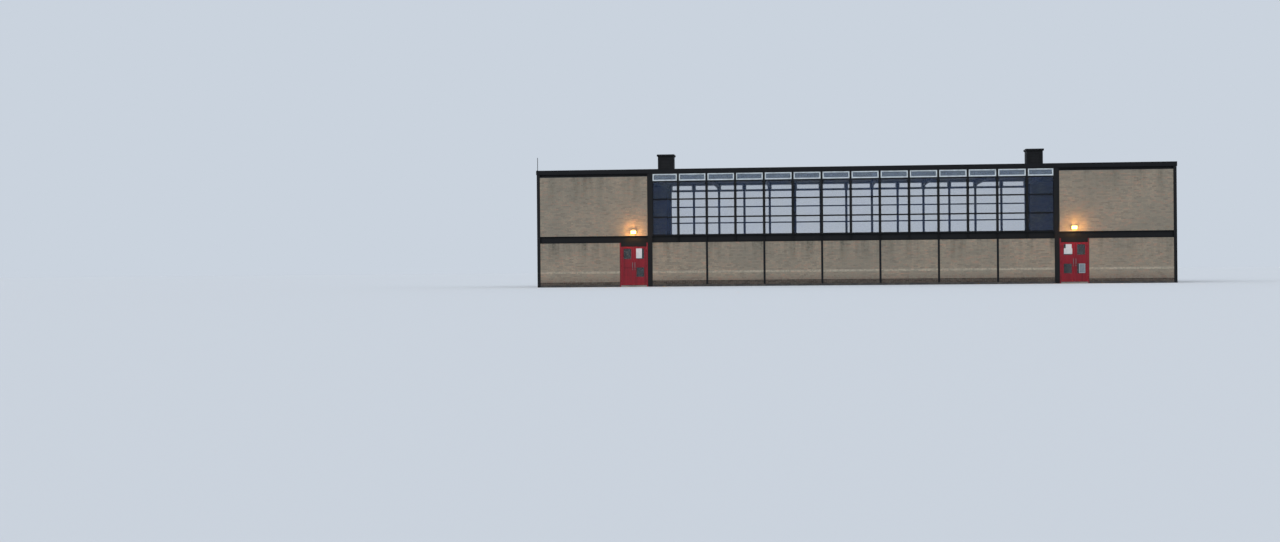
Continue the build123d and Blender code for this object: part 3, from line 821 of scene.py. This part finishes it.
class SCHOOL_HALL_OT_stiffeners(bpy.types.Operator):
    """Welds stiffeners into the beams under the mullions"""

    bl_idname = "school_hall.stiffeners"
    bl_label = "Stiffeners"

    def execute(self, context):
        bm = bmesh.new()
        half_plate, setback = 0.005, 0.004
        first = BAY - HALF_HALL
        front, web_face = setback - FLANGE, (WALL_DEPTH - WEB) / 2 - FLANGE
        for wall in ("front", "back"):
            part = bmesh.new()
            near, far = (front, MID_BEAM_BOTTOM + FLANGE), (web_face, MID_BEAM_TOP - FLANGE)
            centred_block(part, first, half_plate, near, far)
            repeat(part, HALL_BAYS - 2, (BAY, 0, 0))
            join(bm, part, on_wall(wall))
        add_piece("beam_stiffeners", bm, "painted frame steel")
        return {"FINISHED"}


class SCHOOL_HALL_OT_beads(bpy.types.Operator):
    """Fits sloping beads round every pane, and slim ones in the hoppers"""

    bl_idname = "school_hall.beads"
    bl_label = "Glazing beads"

    def execute(self, context):
        sizes = context.scene.school_hall_sizes
        width, height = sizes.bead_width, sizes.bead_height
        crest, lip = 0.4 * width, height / 4
        profile = [(0, 0), (0, height), (crest, height), (width, lip), (width, 0)]
        for side, turn in SIDE_TURNS.items():
            fixed, light = bmesh.new(), bmesh.new()
            for left, right in pane_bays():
                middle = (left + right) / 2
                for row in range(PANE_ROWS):
                    level = MID_BEAM_TOP + RAIL + row * (RAIL + PANE_HEIGHT) + PANE_HEIGHT / 2
                    for face, facing in ((-GLASS / 2, FACING_OUT), (GLASS / 2, FACING_IN)):
                        place = turn @ on_front(middle, face - PANE_LINE, level) @ facing
                        mitred_frame(fixed, right - left, PANE_HEIGHT, profile, place)
                place = turn @ on_front(middle, -HOPPER_LINE - GLASS / 2, HOPPER_MIDDLE)
                mitred_frame(light, right - left - 2 * HOPPER_BAR, HOPPER_GLASS, profile, place)
            add_piece(f"{side}_glazing_beads", fixed, "painted frame steel")
            add_piece(f"{side}_hopper_beads", light, "pale hopper paint")
        return {"FINISHED"}


class SCHOOL_HALL_OT_sills(bpy.types.Operator):
    """Lays sloping sills on the beam's ledge in front of the bottom rails"""

    bl_idname = "school_hall.sills"
    bl_label = "Sills"

    def execute(self, context):
        lip, fall = 0.004, 0.012
        ledge = HALF_DEPTH - PANE_LINE - RAIL_DEPTH / 2
        for side, turn in SIDE_TURNS.items():
            bm = bmesh.new()
            for left, right in pane_bays():
                near, far = -HALF_DEPTH, ledge - HALF_DEPTH
                sill = block(bm, (left, near, MID_BEAM_TOP), (right, far, MID_BEAM_TOP + lip))
                lift(bm, sill, fall, (0, 1, 1))
            bmesh.ops.transform(bm, matrix=turn, verts=bm.verts)
            add_piece(f"{side}_sills", bm, "painted frame steel")
        return {"FINISHED"}


class SCHOOL_HALL_OT_hoppers(bpy.types.Operator):
    """Adds the hoppers' hinges, the tubes and arms that work them, and the front's obscured glass"""

    bl_idname = "school_hall.hoppers"
    bl_label = "Hoppers"

    def execute(self, context):
        sizes = context.scene.school_hall_sizes
        for side, turn in SIDE_TURNS.items():
            hinges, gear = bmesh.new(), bmesh.new()
            for left, right in pane_bays():
                self.add_hinges(hinges, left, right)
            self.add_gear(gear, sizes.gear_radius)
            for bm, name, finish, slot in (
                (hinges, "hinges", "pale hopper paint", "hopper_paint"),
                (gear, "gear", "painted frame steel", "frame_steel"),
            ):
                bmesh.ops.transform(bm, matrix=turn, verts=bm.verts)
                add_piece(f"{side}_hopper_{name}", bm, finish)
        # Only the front's hoppers look milky; the sky shows clear through those at the back
        sheets = bmesh.new()
        for left, right in pane_bays():
            self.add_sheet(sheets, left + HOPPER_BAR, right - HOPPER_BAR)
        add_piece("front_hopper_obscured_panes", sheets, "rolled obscured glass")
        return {"FINISHED"}

    def add_hinges(self, bm, left, right):
        """Two hinges on the top bar of a hopper, each a barrel and its flag."""
        half_barrel, half_flag, radius, flag_height = 0.040, 0.038, 0.006, 0.034
        front, level = HOPPER_LOW.y - radius / 2, HOPPER_HIGH.z - radius
        shares_across = (0.18, 0.82)
        for share in shares_across:
            x = left + share * (right - left)
            tube(bm, (x - half_barrel, front, level), (x + half_barrel, front, level), radius)
            centred_block(bm, x, half_flag, (front, level - flag_height), (HOPPER_LOW.y, level))

    def add_sheet(self, bm, left, right):
        """A sheet with bevelled edges, close behind the hopper's own pane."""
        gap, thickness, tuck, bevel = 0.002, 0.004, 0.001, 0.001
        near = GLASS / 2 + gap - HOPPER_LINE
        low, high = HOPPER_MIDDLE - HOPPER_GLASS / 2 + tuck, HOPPER_MIDDLE + HOPPER_GLASS / 2 - tuck
        verts = block(bm, (left + tuck, near, low), (right - tuck, near + thickness, high))
        edges = {edge for vert in verts for edge in vert.link_edges}
        bmesh.ops.bevel(
            bm, geom=list(edges), offset=bevel, affect="EDGES", segments=1, profile=0.5, material=-1
        )

    def add_gear(self, bm, radius):
        """The long tube inside, its brackets on the mullions, and a bent arm to each hopper."""
        behind, below, end_gap = 0.075, 0.03, 0.05
        lug, lug_height, lug_rise = 0.040, 0.032, 0.008
        back = HOPPER_HIGH.y
        line_y, line_z = back + behind, HOPPER_LOW.z - below
        for left, right in pane_bays():
            middle = (left + right) / 2
            low = Vector((middle - lug / 2, back, HOPPER_LOW.z + lug_rise))
            high = low + Vector((lug, lug / 2, lug_height))
            block(bm, low, high)
            tube(bm, (low + high) / 2, (middle, line_y, line_z), radius / 2)
        reach = WINDOW_LIGHT - end_gap
        tube(bm, (-reach, line_y, line_z), (reach, line_y, line_z), radius)
        half_bracket, rise, beyond = 0.015, 0.02, 0.015
        near, far = (MULLION_DEPTH - HALF_DEPTH, line_z - rise), (line_y + beyond, line_z + rise)
        for number in range(1, HALL_BAYS):
            centred_block(bm, -HALF_HALL + number * BAY, half_bracket, near, far)


class SCHOOL_HALL_OT_roof_felt(bpy.types.Operator):
    """Lays the felt rolls on the deck and the fillets along the roof edge"""

    bl_idname = "school_hall.roof_felt"
    bl_label = "Roof felt"

    def execute(self, context):
        half_x, half_y = CHANNEL_HIGH.x - CHANNEL_WIDTH, CHANNEL_HIGH.y - CHANNEL_WIDTH
        self.lay_rolls(half_x, half_y, context.scene.school_hall_sizes)
        fillets = bmesh.new()
        width, rise, crest, edge = 0.085, 0.078, 0.012, 0.009
        profile = [(0, 0), (0, rise), (crest, rise), (width, edge), (width, 0)]
        mitred_frame(fillets, 2 * half_x, 2 * half_y, profile, Matrix.Translation((0, 0, DECK_TOP)))
        add_piece("roof_edge_fillets", fillets, "mineral roofing felt")
        return {"FINISHED"}

    def lay_rolls(self, half_x, half_y, sizes):
        """Rolls laid along the roof with staggered end laps, and the bitumen squeezed out of the laps."""
        draw = random.Random(sizes.brick_seed + 1)
        bm, bleed = bmesh.new(), bmesh.new()
        shade = bm.verts.layers.float.new("shade")
        pitch = sizes.felt_roll - sizes.felt_lap
        roll_length, shortest_share, shortest = 8.0, 0.4, 0.3
        side_lap, end_lap, bead = 0.003, 0.002, 0.025
        top = DECK_TOP + sizes.felt_thickness
        for strip in range(math.ceil((2 * half_y - sizes.felt_lap) / pitch)):
            near = -half_y + strip * pitch
            far = min(near + sizes.felt_roll, half_y)
            start, end = -half_x, -half_x + draw.uniform(shortest_share, 1.0) * roll_length
            while start < half_x - shortest:
                end = min(end, half_x)
                verts = block(bm, (start, near, DECK_TOP), (end, far, top))
                aged = draw.random()
                for vert in verts:
                    vert[shade] = aged
                lift(bm, verts, side_lap, (0, -1, 1))
                lift(bm, verts, end_lap, (1, 0, 1))
                if strip > 0:
                    block(bleed, (start, near - bead, DECK_TOP), (end, near, top + side_lap / 2))
                if end < half_x:
                    block(bleed, (end, near, DECK_TOP), (end + bead, far, top + end_lap / 2))
                start = end - sizes.felt_lap
                end = start + roll_length
        add_piece("roof_felt_rolls", bm, "mineral roofing felt")
        add_piece("roof_lap_beads", bleed, "bitumen bleed")


class SCHOOL_HALL_OT_stacks(bpy.types.Operator):
    """Fits lead skirts, corner angles, drips and louvres to the roof stacks"""

    bl_idname = "school_hall.stacks"
    bl_label = "Stacks"

    def execute(self, context):
        lead, angles, louvres = bmesh.new(), bmesh.new(), bmesh.new()
        half = STACK_SIDE / 2
        skirt_width, skirt_rise, skirt_edge, bend_in, bend_up, top_in = 0.15, 0.16, 0.012, 0.13, 0.03, 0.142
        skirt = [(0, 0), (0, skirt_edge), (bend_in, bend_up), (top_in, skirt_rise)]
        skirt += [(skirt_width, skirt_rise), (skirt_width, 0)]
        drip_width, drip_height, drip_reach = 0.028, 0.03, 0.025
        drip = [(0, 0), (0, drip_height), (drip_width, drip_height), (drip_width, 0)]
        drip_foot = STACK_HEAD - drip_height
        flap, sheet = 0.05, 0.004
        for side in (-1, 1):
            centre = side * (STACK_X - half)
            outer = 2 * (half + skirt_width)
            mitred_frame(lead, outer, outer, skirt, Matrix.Translation((centre, 0, DECK_TOP)))
            outer = 2 * (half + drip_reach)
            mitred_frame(angles, outer, outer, drip, Matrix.Translation((centre, 0, drip_foot)))
            for quarter in range(4):
                place = Matrix.Translation((centre, 0, 0)) @ Matrix.Rotation(quarter * math.pi / 2, 4, "Z")
                corner = bmesh.new()
                foot = DECK_TOP + skirt_rise
                block(corner, (half - flap, -half - sheet, foot), (half + sheet, -half, drip_foot))
                block(corner, (half, -half, foot), (half + sheet, flap - half, drip_foot))
                join(angles, corner, place)
                join(louvres, self.louvre(-half), place)
        add_piece("stack_flashings", lead, "milled lead")
        add_piece("stack_corner_angles", angles, "painted stack sheet")
        add_piece("stack_louvres", louvres, "painted stack sheet")
        return {"FINISHED"}

    def louvre(self, face):
        """A frame with six sloping blades on one side of a stack."""
        size, bar, depth, below_head = 0.56, 0.03, 0.014, 0.45
        blades, step, thickness, slope, reach = 6, 0.084, 0.008, 0.05, 0.012
        middle = STACK_HEAD - below_head
        half_blade = size / 2 - bar
        lowest = middle - step * (blades - 1) / 2
        part = bmesh.new()
        blade = centred_block(part, 0, half_blade, (face - reach, lowest), (face, lowest + thickness))
        lift(part, blade, slope, (0, 1, 0))
        repeat(part, blades - 1, (0, 0, step))
        rim = [(0, 0), (0, depth), (bar, depth), (bar, 0)]
        mitred_frame(part, size, size, rim, on_front(0, face, middle))
        return part


class SCHOOL_HALL_OT_outlets(bpy.types.Operator):
    """Sets leaf guards over the rainwater outlets, a ring of bent bars on a collar"""

    bl_idname = "school_hall.outlets"
    bl_label = "Rainwater outlets"

    def execute(self, context):
        bm = bmesh.new()
        bars, bar_radius, bar_sides = 12, 0.004, 6
        foot, knee, crown = (0.105, 0, 0.014), (0.085, 0, 0.065), (0, 0, 0.084)
        collar_foot, collar_rim, collar_height = 0.14, 0.125, 0.012
        columns, from_edge = (-14.0, -4.6, 4.6, 14.0), 0.55
        row = CHANNEL_HIGH.y - CHANNEL_WIDTH - from_edge
        for x in columns:
            for y in (-row, row):
                part = bmesh.new()
                tube(part, foot, knee, bar_radius, bar_sides)
                tube(part, knee, crown, bar_radius, bar_sides)
                repeat(part, bars - 1, turn=math.tau * (bars - 1) / bars)
                bmesh.ops.create_cone(
                    part,
                    cap_ends=True,
                    segments=24,
                    radius1=collar_foot,
                    radius2=collar_rim,
                    depth=collar_height,
                    matrix=Matrix.Translation((0, 0, collar_height)),
                )
                join(bm, part, Matrix.Translation((x, y, DECK_TOP)))
        add_piece("rainwater_outlets", bm, "painted stack sheet")
        return {"FINISHED"}


class SCHOOL_HALL_OT_leaves(bpy.types.Operator):
    """Fits mouldings, weather bars, locks, panic bars and screws to the door leaves"""

    bl_idname = "school_hall.leaves"
    bl_label = "Door leaves"

    def execute(self, context):
        for door, centre in DOOR_CENTRES.items():
            for side, hand in LEAF_HANDS.items():
                self.add_mouldings(f"{door}_{side}", centre, hand)
                self.add_ironmongery(f"{door}_{side}", centre, hand)
        return {"FINISHED"}

    def add_mouldings(self, leaf, centre, hand):
        """Everything on a leaf that is painted red: mouldings, weather bar, hinge screws and pins."""
        bm = bmesh.new()
        middle = centre + hand * (MEETING_GAP + LEAF_WIDTH) / 2
        rise, lip, width, slim_share = 0.0155, 0.004, 0.016, 0.6
        profile = [(0, 0), (0, rise), (width / 2, rise), (width, lip), (width, 0)]
        for pane in (UPPER_PANE, LOWER_PANE):
            boarded = leaf == BOARDED_LEAF and pane == LOWER_PANE
            recess = BOARD_RECESS if boarded else (LEAF_THICKNESS - GLASS) / 2
            slim = Matrix.Diagonal((1, 1, slim_share, 1)) if boarded else Matrix.Identity(4)
            for face, facing in ((recess, FACING_OUT), (LEAF_THICKNESS - recess, FACING_IN)):
                place = on_front(middle, face - HALF_DEPTH, sum(pane) / 2) @ facing @ slim
                mitred_frame(bm, PANE_WIDTH, pane[1] - pane[0], profile, place)

        bar_inset, bar_rise, bar_height, bar_reach, bar_slope = 0.012, 0.02, 0.055, 0.034, 0.028
        half_bar, bar_foot = LEAF_WIDTH / 2 - bar_inset, LEAF_BOTTOM + bar_rise
        near, far = (-HALF_DEPTH - bar_reach, bar_foot), (-HALF_DEPTH, bar_foot + bar_height)
        lift(bm, centred_block(bm, middle, half_bar, near, far), -bar_slope, (0, -1, 1))

        pin_x = centre + hand * HINGE_X
        pin_radius, pin_head = 0.0065, 0.006
        for level in HINGE_LEVELS:
            add_hinge_screws(bm, pin_x, -hand, level + KNUCKLE_HEIGHT / 2)
            pin = Vector((pin_x, HINGE_Y, level + KNUCKLE_HEIGHT))
            tube(bm, pin, pin + Vector((0, 0, pin_head)), pin_radius)
        add_piece(f"{leaf}_mouldings", bm, "red gloss paint", leaf)

    def add_ironmongery(self, leaf, centre, hand):
        """Bare metal of a leaf: panic bar with its bolts inside, lock and handle roses outside."""
        bm = bmesh.new()
        middle = centre + hand * (MEETING_GAP + LEAF_WIDTH) / 2
        stile = centre + hand * (MEETING_GAP / 2 + HANDLE_INSET)
        inside, outside = LEAF_THICKNESS - HALF_DEPTH, -HALF_DEPTH
        half_bar, half_box, box_depth, box_low, box_high = 0.27, 0.022, 0.055, 0.96, 1.08
        for x in (middle - half_bar, middle + half_bar):
            centred_block(bm, x, half_box, (inside, box_low), (inside + box_depth, box_high))
        bar_out, bar_level, bar_radius = 0.05, 1.0, 0.012
        bar_y = inside + bar_out
        tube(bm, (middle - half_bar, bar_y, bar_level), (middle + half_bar, bar_y, bar_level), bar_radius)
        bolt_out, bolt_radius, foot_gap, head_gap, overlap = 0.008, 0.006, 0.03, 0.02, 0.02
        bolt_y = inside + bolt_out
        lower_bolt = (LEAF_BOTTOM + foot_gap, box_low + overlap)
        upper_bolt = (box_high - overlap, LEAF_TOP - head_gap)
        for low, high in (lower_bolt, upper_bolt):
            tube(bm, (stile, bolt_y, low), (stile, bolt_y, high), bolt_radius, segments=8)
        # The lock's plate, its cylinder and the handle's roses: level, radius and reach
        discs = [(0.93, 0.024, 0.006), (0.93, 0.009, 0.011)]
        discs += [(level, 0.019, 0.004) for level in HANDLE_ENDS]
        for level, radius, reach in discs:
            tube(bm, (stile, outside, level), (stile, outside - reach, level), radius, segments=20)
        add_piece(f"{leaf}_ironmongery", bm, "satin stainless", leaf)


def add_hinge_screws(bm, pin_x, towards, middle):
    """Three screw heads on a hinge flag, the middle one nearer to the pin."""
    face = -HALF_DEPTH - HINGE_FLAG_THICKNESS
    spacing, radius, sunk, proud = 0.016, 0.004, 0.001, 0.0015
    for step, out in ((-1, 0.034), (0, 0.022), (1, 0.034)):
        x, z = pin_x + towards * out, middle + step * spacing
        tube(bm, (x, face + sunk, z), (x, face - proud, z), radius, segments=10)


class SCHOOL_HALL_OT_doorways(bpy.types.Operator):
    """Screws the hinges to the jambs and lays ribbed strips on the thresholds"""

    bl_idname = "school_hall.doorways"
    bl_label = "Doorways"

    def execute(self, context):
        screws, strips = bmesh.new(), bmesh.new()
        half_clear = DOOR_OPENING / 2 - JAMB
        margin, depth, plate = 0.002, 0.048, 0.002
        ribs, rib_step, rib_width, rib_height = 5, 0.009, 0.004, 0.0035
        for centre in DOOR_CENTRES.values():
            for hand in LEAF_HANDS.values():
                for level in HINGE_LEVELS:
                    add_hinge_screws(screws, centre + hand * HINGE_X, hand, level - KNUCKLE_HEIGHT / 2)
            half, front = half_clear - margin, margin - HALF_DEPTH
            far = (depth - HALF_DEPTH, THRESHOLD_TOP + plate)
            centred_block(strips, centre, half, (front, THRESHOLD_TOP), far)
            rows = bmesh.new()
            far = (front + 2 * rib_width, THRESHOLD_TOP + rib_height)
            centred_block(rows, centre, half - margin, (front + rib_width, THRESHOLD_TOP), far)
            repeat(rows, ribs - 1, (0, rib_step, 0))
            join(strips, rows)
        add_piece("jamb_hinge_screws", screws, "red gloss paint")
        add_piece("threshold_strips", strips, "zinc plating")
        return {"FINISHED"}


class SCHOOL_HALL_OT_notices(bpy.types.Operator):
    """Puts the bare notices on the doors, each a sheet in a slim frame"""

    bl_idname = "school_hall.notices"
    bl_label = "Notices"

    def execute(self, context):
        rim, rise, chamfer, tuck = 0.014, 0.004, 0.002, 0.001
        profile = [(0, 0), (0, rise), (rim - chamfer, rise), (rim, rise / 2), (rim, 0)]
        for number, (leaf, x, z, width, height, finish) in enumerate(NOTICES, start=1):
            place = on_front(x, -HALF_DEPTH, z)
            holder, card = bmesh.new(), bmesh.new()
            mitred_frame(holder, width, height, profile, place)
            margin = 2 * (rim - tuck)
            join(card, self.cockled_sheet(width - margin, height - margin), place)
            add_piece(f"{leaf}_notice_{number}_holder", holder, "pale hopper paint", leaf)
            add_piece(f"{leaf}_notice_{number}", card, finish, leaf)
        return {"FINISHED"}

    def cockled_sheet(self, width, height):
        """A thin card whose face rises and falls between its flat edges, as damp card does."""
        thickness, cockle, waves_across, waves_up = 0.0015, 0.0008, 9.0, 6.0
        part = bmesh.new()
        bmesh.ops.create_grid(part, x_segments=12, y_segments=16, size=0.5)
        raised = bmesh.ops.extrude_face_region(part, geom=part.faces[:], use_keep_orig=True)["geom"]
        for vert in only(bmesh.types.BMVert, raised):
            across, up = vert.co.x + 0.5, vert.co.y + 0.5
            slack = math.sin(math.pi * across) * math.sin(math.pi * up)
            vert.co.z = thickness + cockle * slack * (1 + math.sin(waves_across * across + waves_up * up))
        bmesh.ops.scale(part, vec=(width, height, 1), verts=part.verts)
        return part


class SCHOOL_HALL_OT_lamps(bpy.types.Operator):
    """Adds the gaskets, screws and conduits of the wall lamps, and their light"""

    bl_idname = "school_hall.lamps"
    bl_label = "Wall lamps"

    def execute(self, context):
        gaskets, fixings = bmesh.new(), bmesh.new()
        for door, centre in DOOR_CENTRES.items():
            self.add_gasket(gaskets, centre)
            self.add_fixings(fixings, centre)
            self.add_glow(context.scene, f"{door}_glow", centre)
        add_piece("lamp_gaskets", gaskets, "black mastic")
        add_piece("lamp_fixings", fixings, "painted lamp casting")
        return {"FINISHED"}

    def add_gasket(self, bm, centre):
        """A gasket round the sloping front, between the housing's foot and its nose."""
        foot_reach, hood, margin, width, rise, rim = 0.070, 0.055, 0.004, 0.300, 0.005, 0.014
        foot = Vector((centre, -BRICK_FACE - foot_reach, LAMP_LOW.z))
        nose = Vector((centre, LAMP_LOW.y, LAMP_HIGH.z - hood))
        across = Vector((1, 0, 0))
        slope = (nose - foot).normalized()
        turn = Matrix((across, slope, across.cross(slope))).transposed().to_4x4()
        profile = [(0, 0), (0, rise), (rim, rise), (rim, 0)]
        place = Matrix.Translation((foot + nose) / 2) @ turn
        mitred_frame(bm, width - 2 * margin, (nose - foot).length - 2 * margin, profile, place)

    def add_fixings(self, bm, centre):
        """Screws in the housing's cheeks, and a conduit up from the beam with its saddle."""
        half_width, screw_out, screw_radius, proud = 0.150, 0.035, 0.006, 0.003
        screw_rises = (0.035, 0.195)
        for hand in (-1, 1):
            for rise in screw_rises:
                cheek = Vector((centre + hand * half_width, -BRICK_FACE - screw_out, LAMP_LOW.z + rise))
                tube(bm, cheek, cheek + Vector((hand * proud, 0, 0)), screw_radius, segments=10)
        aside, out, radius = 0.09, 0.014, 0.010
        x, line = centre + aside, -BRICK_FACE - out
        tube(bm, (x, line, MID_BEAM_TOP), (x, line, LAMP_LOW.z), radius, segments=14)
        saddle_rise, saddle_height, saddle_reach = 0.045, 0.015, 0.026
        saddle_foot = MID_BEAM_TOP + saddle_rise
        near, far = (-BRICK_FACE - saddle_reach, saddle_foot), (-BRICK_FACE, saddle_foot + saddle_height)
        centred_block(bm, x, 2 * radius, near, far)

    def add_glow(self, scene, name, centre):
        """The warm light that the lamp throws on the wall."""
        before_lens = 0.12
        data = bpy.data.lights.new(name, "POINT")
        data.energy = scene.school_hall_sizes.lamp_power
        data.color = scene.school_hall_colours.lamp[:3]
        data.shadow_soft_size = 0.10
        glow = add_object(name, data)
        glow.location = (centre, LAMP_LOW.y - before_lens, (LAMP_LOW.z + LAMP_HIGH.z) / 2)
        glow.visible_camera = False


class SCHOOL_HALL_OT_conductor(bpy.types.Operator):
    """Runs the lightning conductor from the rod down the corner column"""

    bl_idname = "school_hall.conductor"
    bl_label = "Lightning conductor"

    def execute(self, context):
        bm = bmesh.new()
        tape, half_tape = 0.003, 0.0125
        middle = (ROD_LOW + ROD_HIGH) / 2
        edge, top, under, foot, lowest_clip = CHANNEL_LOW.y, CHANNEL_HIGH.z, CHANNEL_LOW.z, 0.3, 0.6
        # From the rod to the roof's edge, down the edge, back under it and down the column
        for near, far in (
            ((edge, top), (middle.y, top + tape)),
            ((edge - tape, under), (edge, top + tape)),
            ((edge - tape, under - tape), (-HALF_DEPTH, under)),
            ((-HALF_DEPTH - tape, foot), (-HALF_DEPTH, under)),
        ):
            centred_block(bm, middle.x, half_tape, near, far)
        half_clip, clip_height, clip_step, clips_above = 0.020, 0.025, 1.0, 5
        clips = bmesh.new()
        near, far = (-HALF_DEPTH - 2 * tape, lowest_clip), (-HALF_DEPTH, lowest_clip + clip_height)
        centred_block(clips, middle.x, half_clip, near, far)
        repeat(clips, clips_above, (0, 0, clip_step))
        join(bm, clips)
        add_piece("lightning_conductor", bm, "painted frame steel")
        return {"FINISHED"}


class SCHOOL_HALL_OT_stage(bpy.types.Operator):
    """Sets up the floor, the soft light and the camera"""

    bl_idname = "school_hall.stage"
    bl_label = "Stage"

    def execute(self, context):
        context.scene.view_settings.view_transform = "Standard"
        self.add_floor()
        self.add_light(context.scene)
        self.add_camera(context.scene)
        return {"FINISHED"}

    def add_floor(self):
        """A wide pale floor."""
        bm = bmesh.new()
        bmesh.ops.create_circle(bm, cap_ends=True, segments=64, radius=FLOOR_RADIUS)
        mesh = to_mesh(bm, "studio_floor")
        # Plain matt floor paint
        tree, _ = start_finish("matt floor paint")
        end_finish(tree, {"Base Color": linear("#c9d0d9"), "Roughness": 0.9, "Specular IOR Level": 0.2})
        mesh.materials.append(bpy.data.materials["matt floor paint"])
        add_object("studio_floor", mesh)

    def add_light(self, scene):
        """Even light from all round, a soft high light from the front, and a plain pale backdrop."""
        world = bpy.data.worlds.new("studio_light")
        world.use_nodes = True
        tree = world.node_tree
        tree.nodes.clear()
        light = add_node(tree, "Background", {"Color": linear("#f4f6f8"), "Strength": 0.86})
        shown = add_node(tree, "Background", {"Color": linear("#cad3de"), "Strength": 1.0})
        ray = add_node(tree, "LightPath").outputs
        seen = add_node(
            tree, "Math", {0: ray["Is Camera Ray"], 1: ray["Is Glossy Ray"]}, operation="MAXIMUM"
        )
        seen = add_node(tree, "Math", {0: seen, 1: ray["Is Transmission Ray"]}, operation="MAXIMUM")
        mix = add_node(tree, "MixShader", {0: seen, 1: light, 2: shown})
        add_node(tree, "OutputWorld", {"Surface": mix})
        scene.world = world
        data = bpy.data.lights.new("soft_front_light", "SUN")
        data.energy = 1.3
        data.angle = math.radians(50)
        direction = Vector((0.35, 0.8, -0.6))
        sun = add_object("soft_front_light", data)
        sun.rotation_euler = direction.to_track_quat("-Z", "Y").to_euler()

    def add_camera(self, scene):
        """The camera, turned by its yaw, pitch and roll."""
        data = bpy.data.cameras.new("camera")
        data.sensor_width = SENSOR_WIDTH
        data.lens = FOCAL_LENGTH_PIXELS * SENSOR_WIDTH / PHOTO_WIDTH
        data.clip_start, data.clip_end = 0.5, 2000.0
        camera = add_object("camera", data)
        upright = Matrix.Rotation(math.radians(90), 4, "X")
        yaw = Matrix.Rotation(-CAMERA_YAW, 4, "Z")
        pitch = Matrix.Rotation(CAMERA_PITCH, 4, "X")
        roll = Matrix.Rotation(CAMERA_ROLL, 4, "Z")
        camera.matrix_world = Matrix.Translation(CAMERA_PLACE) @ yaw @ upright @ pitch @ roll
        scene.camera = camera


OPERATORS = (
    SCHOOL_HALL_OT_stage,
    SCHOOL_HALL_OT_finishes,
    SCHOOL_HALL_OT_brickwork,
    SCHOOL_HALL_OT_wall_joints,
    SCHOOL_HALL_OT_stiffeners,
    SCHOOL_HALL_OT_beads,
    SCHOOL_HALL_OT_sills,
    SCHOOL_HALL_OT_hoppers,
    SCHOOL_HALL_OT_roof_felt,
    SCHOOL_HALL_OT_stacks,
    SCHOOL_HALL_OT_outlets,
    SCHOOL_HALL_OT_leaves,
    SCHOOL_HALL_OT_doorways,
    SCHOOL_HALL_OT_notices,
    SCHOOL_HALL_OT_lamps,
    SCHOOL_HALL_OT_conductor,
)


class SCHOOL_HALL_PT_sidebar(bpy.types.Panel):
    """Sizes, colours and operators of the school hall"""

    bl_idname = "SCHOOL_HALL_PT_sidebar"
    bl_label = "School hall"
    bl_space_type = "VIEW_3D"
    bl_region_type = "UI"
    bl_category = "School hall"

    def draw(self, context):
        for group in (context.scene.school_hall_sizes, context.scene.school_hall_colours):
            box = self.layout.box()
            for name in group.__annotations__:
                box.prop(group, name)
        for operator in OPERATORS:
            self.layout.operator(operator.bl_idname)


CLASSES = (SchoolHallSizes, SchoolHallColours, *OPERATORS, SCHOOL_HALL_PT_sidebar)


def register():
    for cls in CLASSES:
        bpy.utils.register_class(cls)
    bpy.types.Scene.school_hall_sizes = bpy.props.PointerProperty(type=SchoolHallSizes)
    bpy.types.Scene.school_hall_colours = bpy.props.PointerProperty(type=SchoolHallColours)


def unregister():
    del bpy.types.Scene.school_hall_colours
    del bpy.types.Scene.school_hall_sizes
    for cls in reversed(CLASSES):
        bpy.utils.unregister_class(cls)


def main():
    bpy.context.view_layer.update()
    register()
    bpy.ops.school_hall.stage()
    bpy.ops.school_hall.finishes()
    bpy.ops.school_hall.brickwork()
    bpy.ops.school_hall.wall_joints()
    bpy.ops.school_hall.stiffeners()
    bpy.ops.school_hall.beads()
    bpy.ops.school_hall.sills()
    bpy.ops.school_hall.hoppers()
    bpy.ops.school_hall.roof_felt()
    bpy.ops.school_hall.stacks()
    bpy.ops.school_hall.outlets()
    bpy.ops.school_hall.leaves()
    bpy.ops.school_hall.doorways()
    bpy.ops.school_hall.notices()
    bpy.ops.school_hall.lamps()
    bpy.ops.school_hall.conductor()


if __name__ == "__main__":
    main()
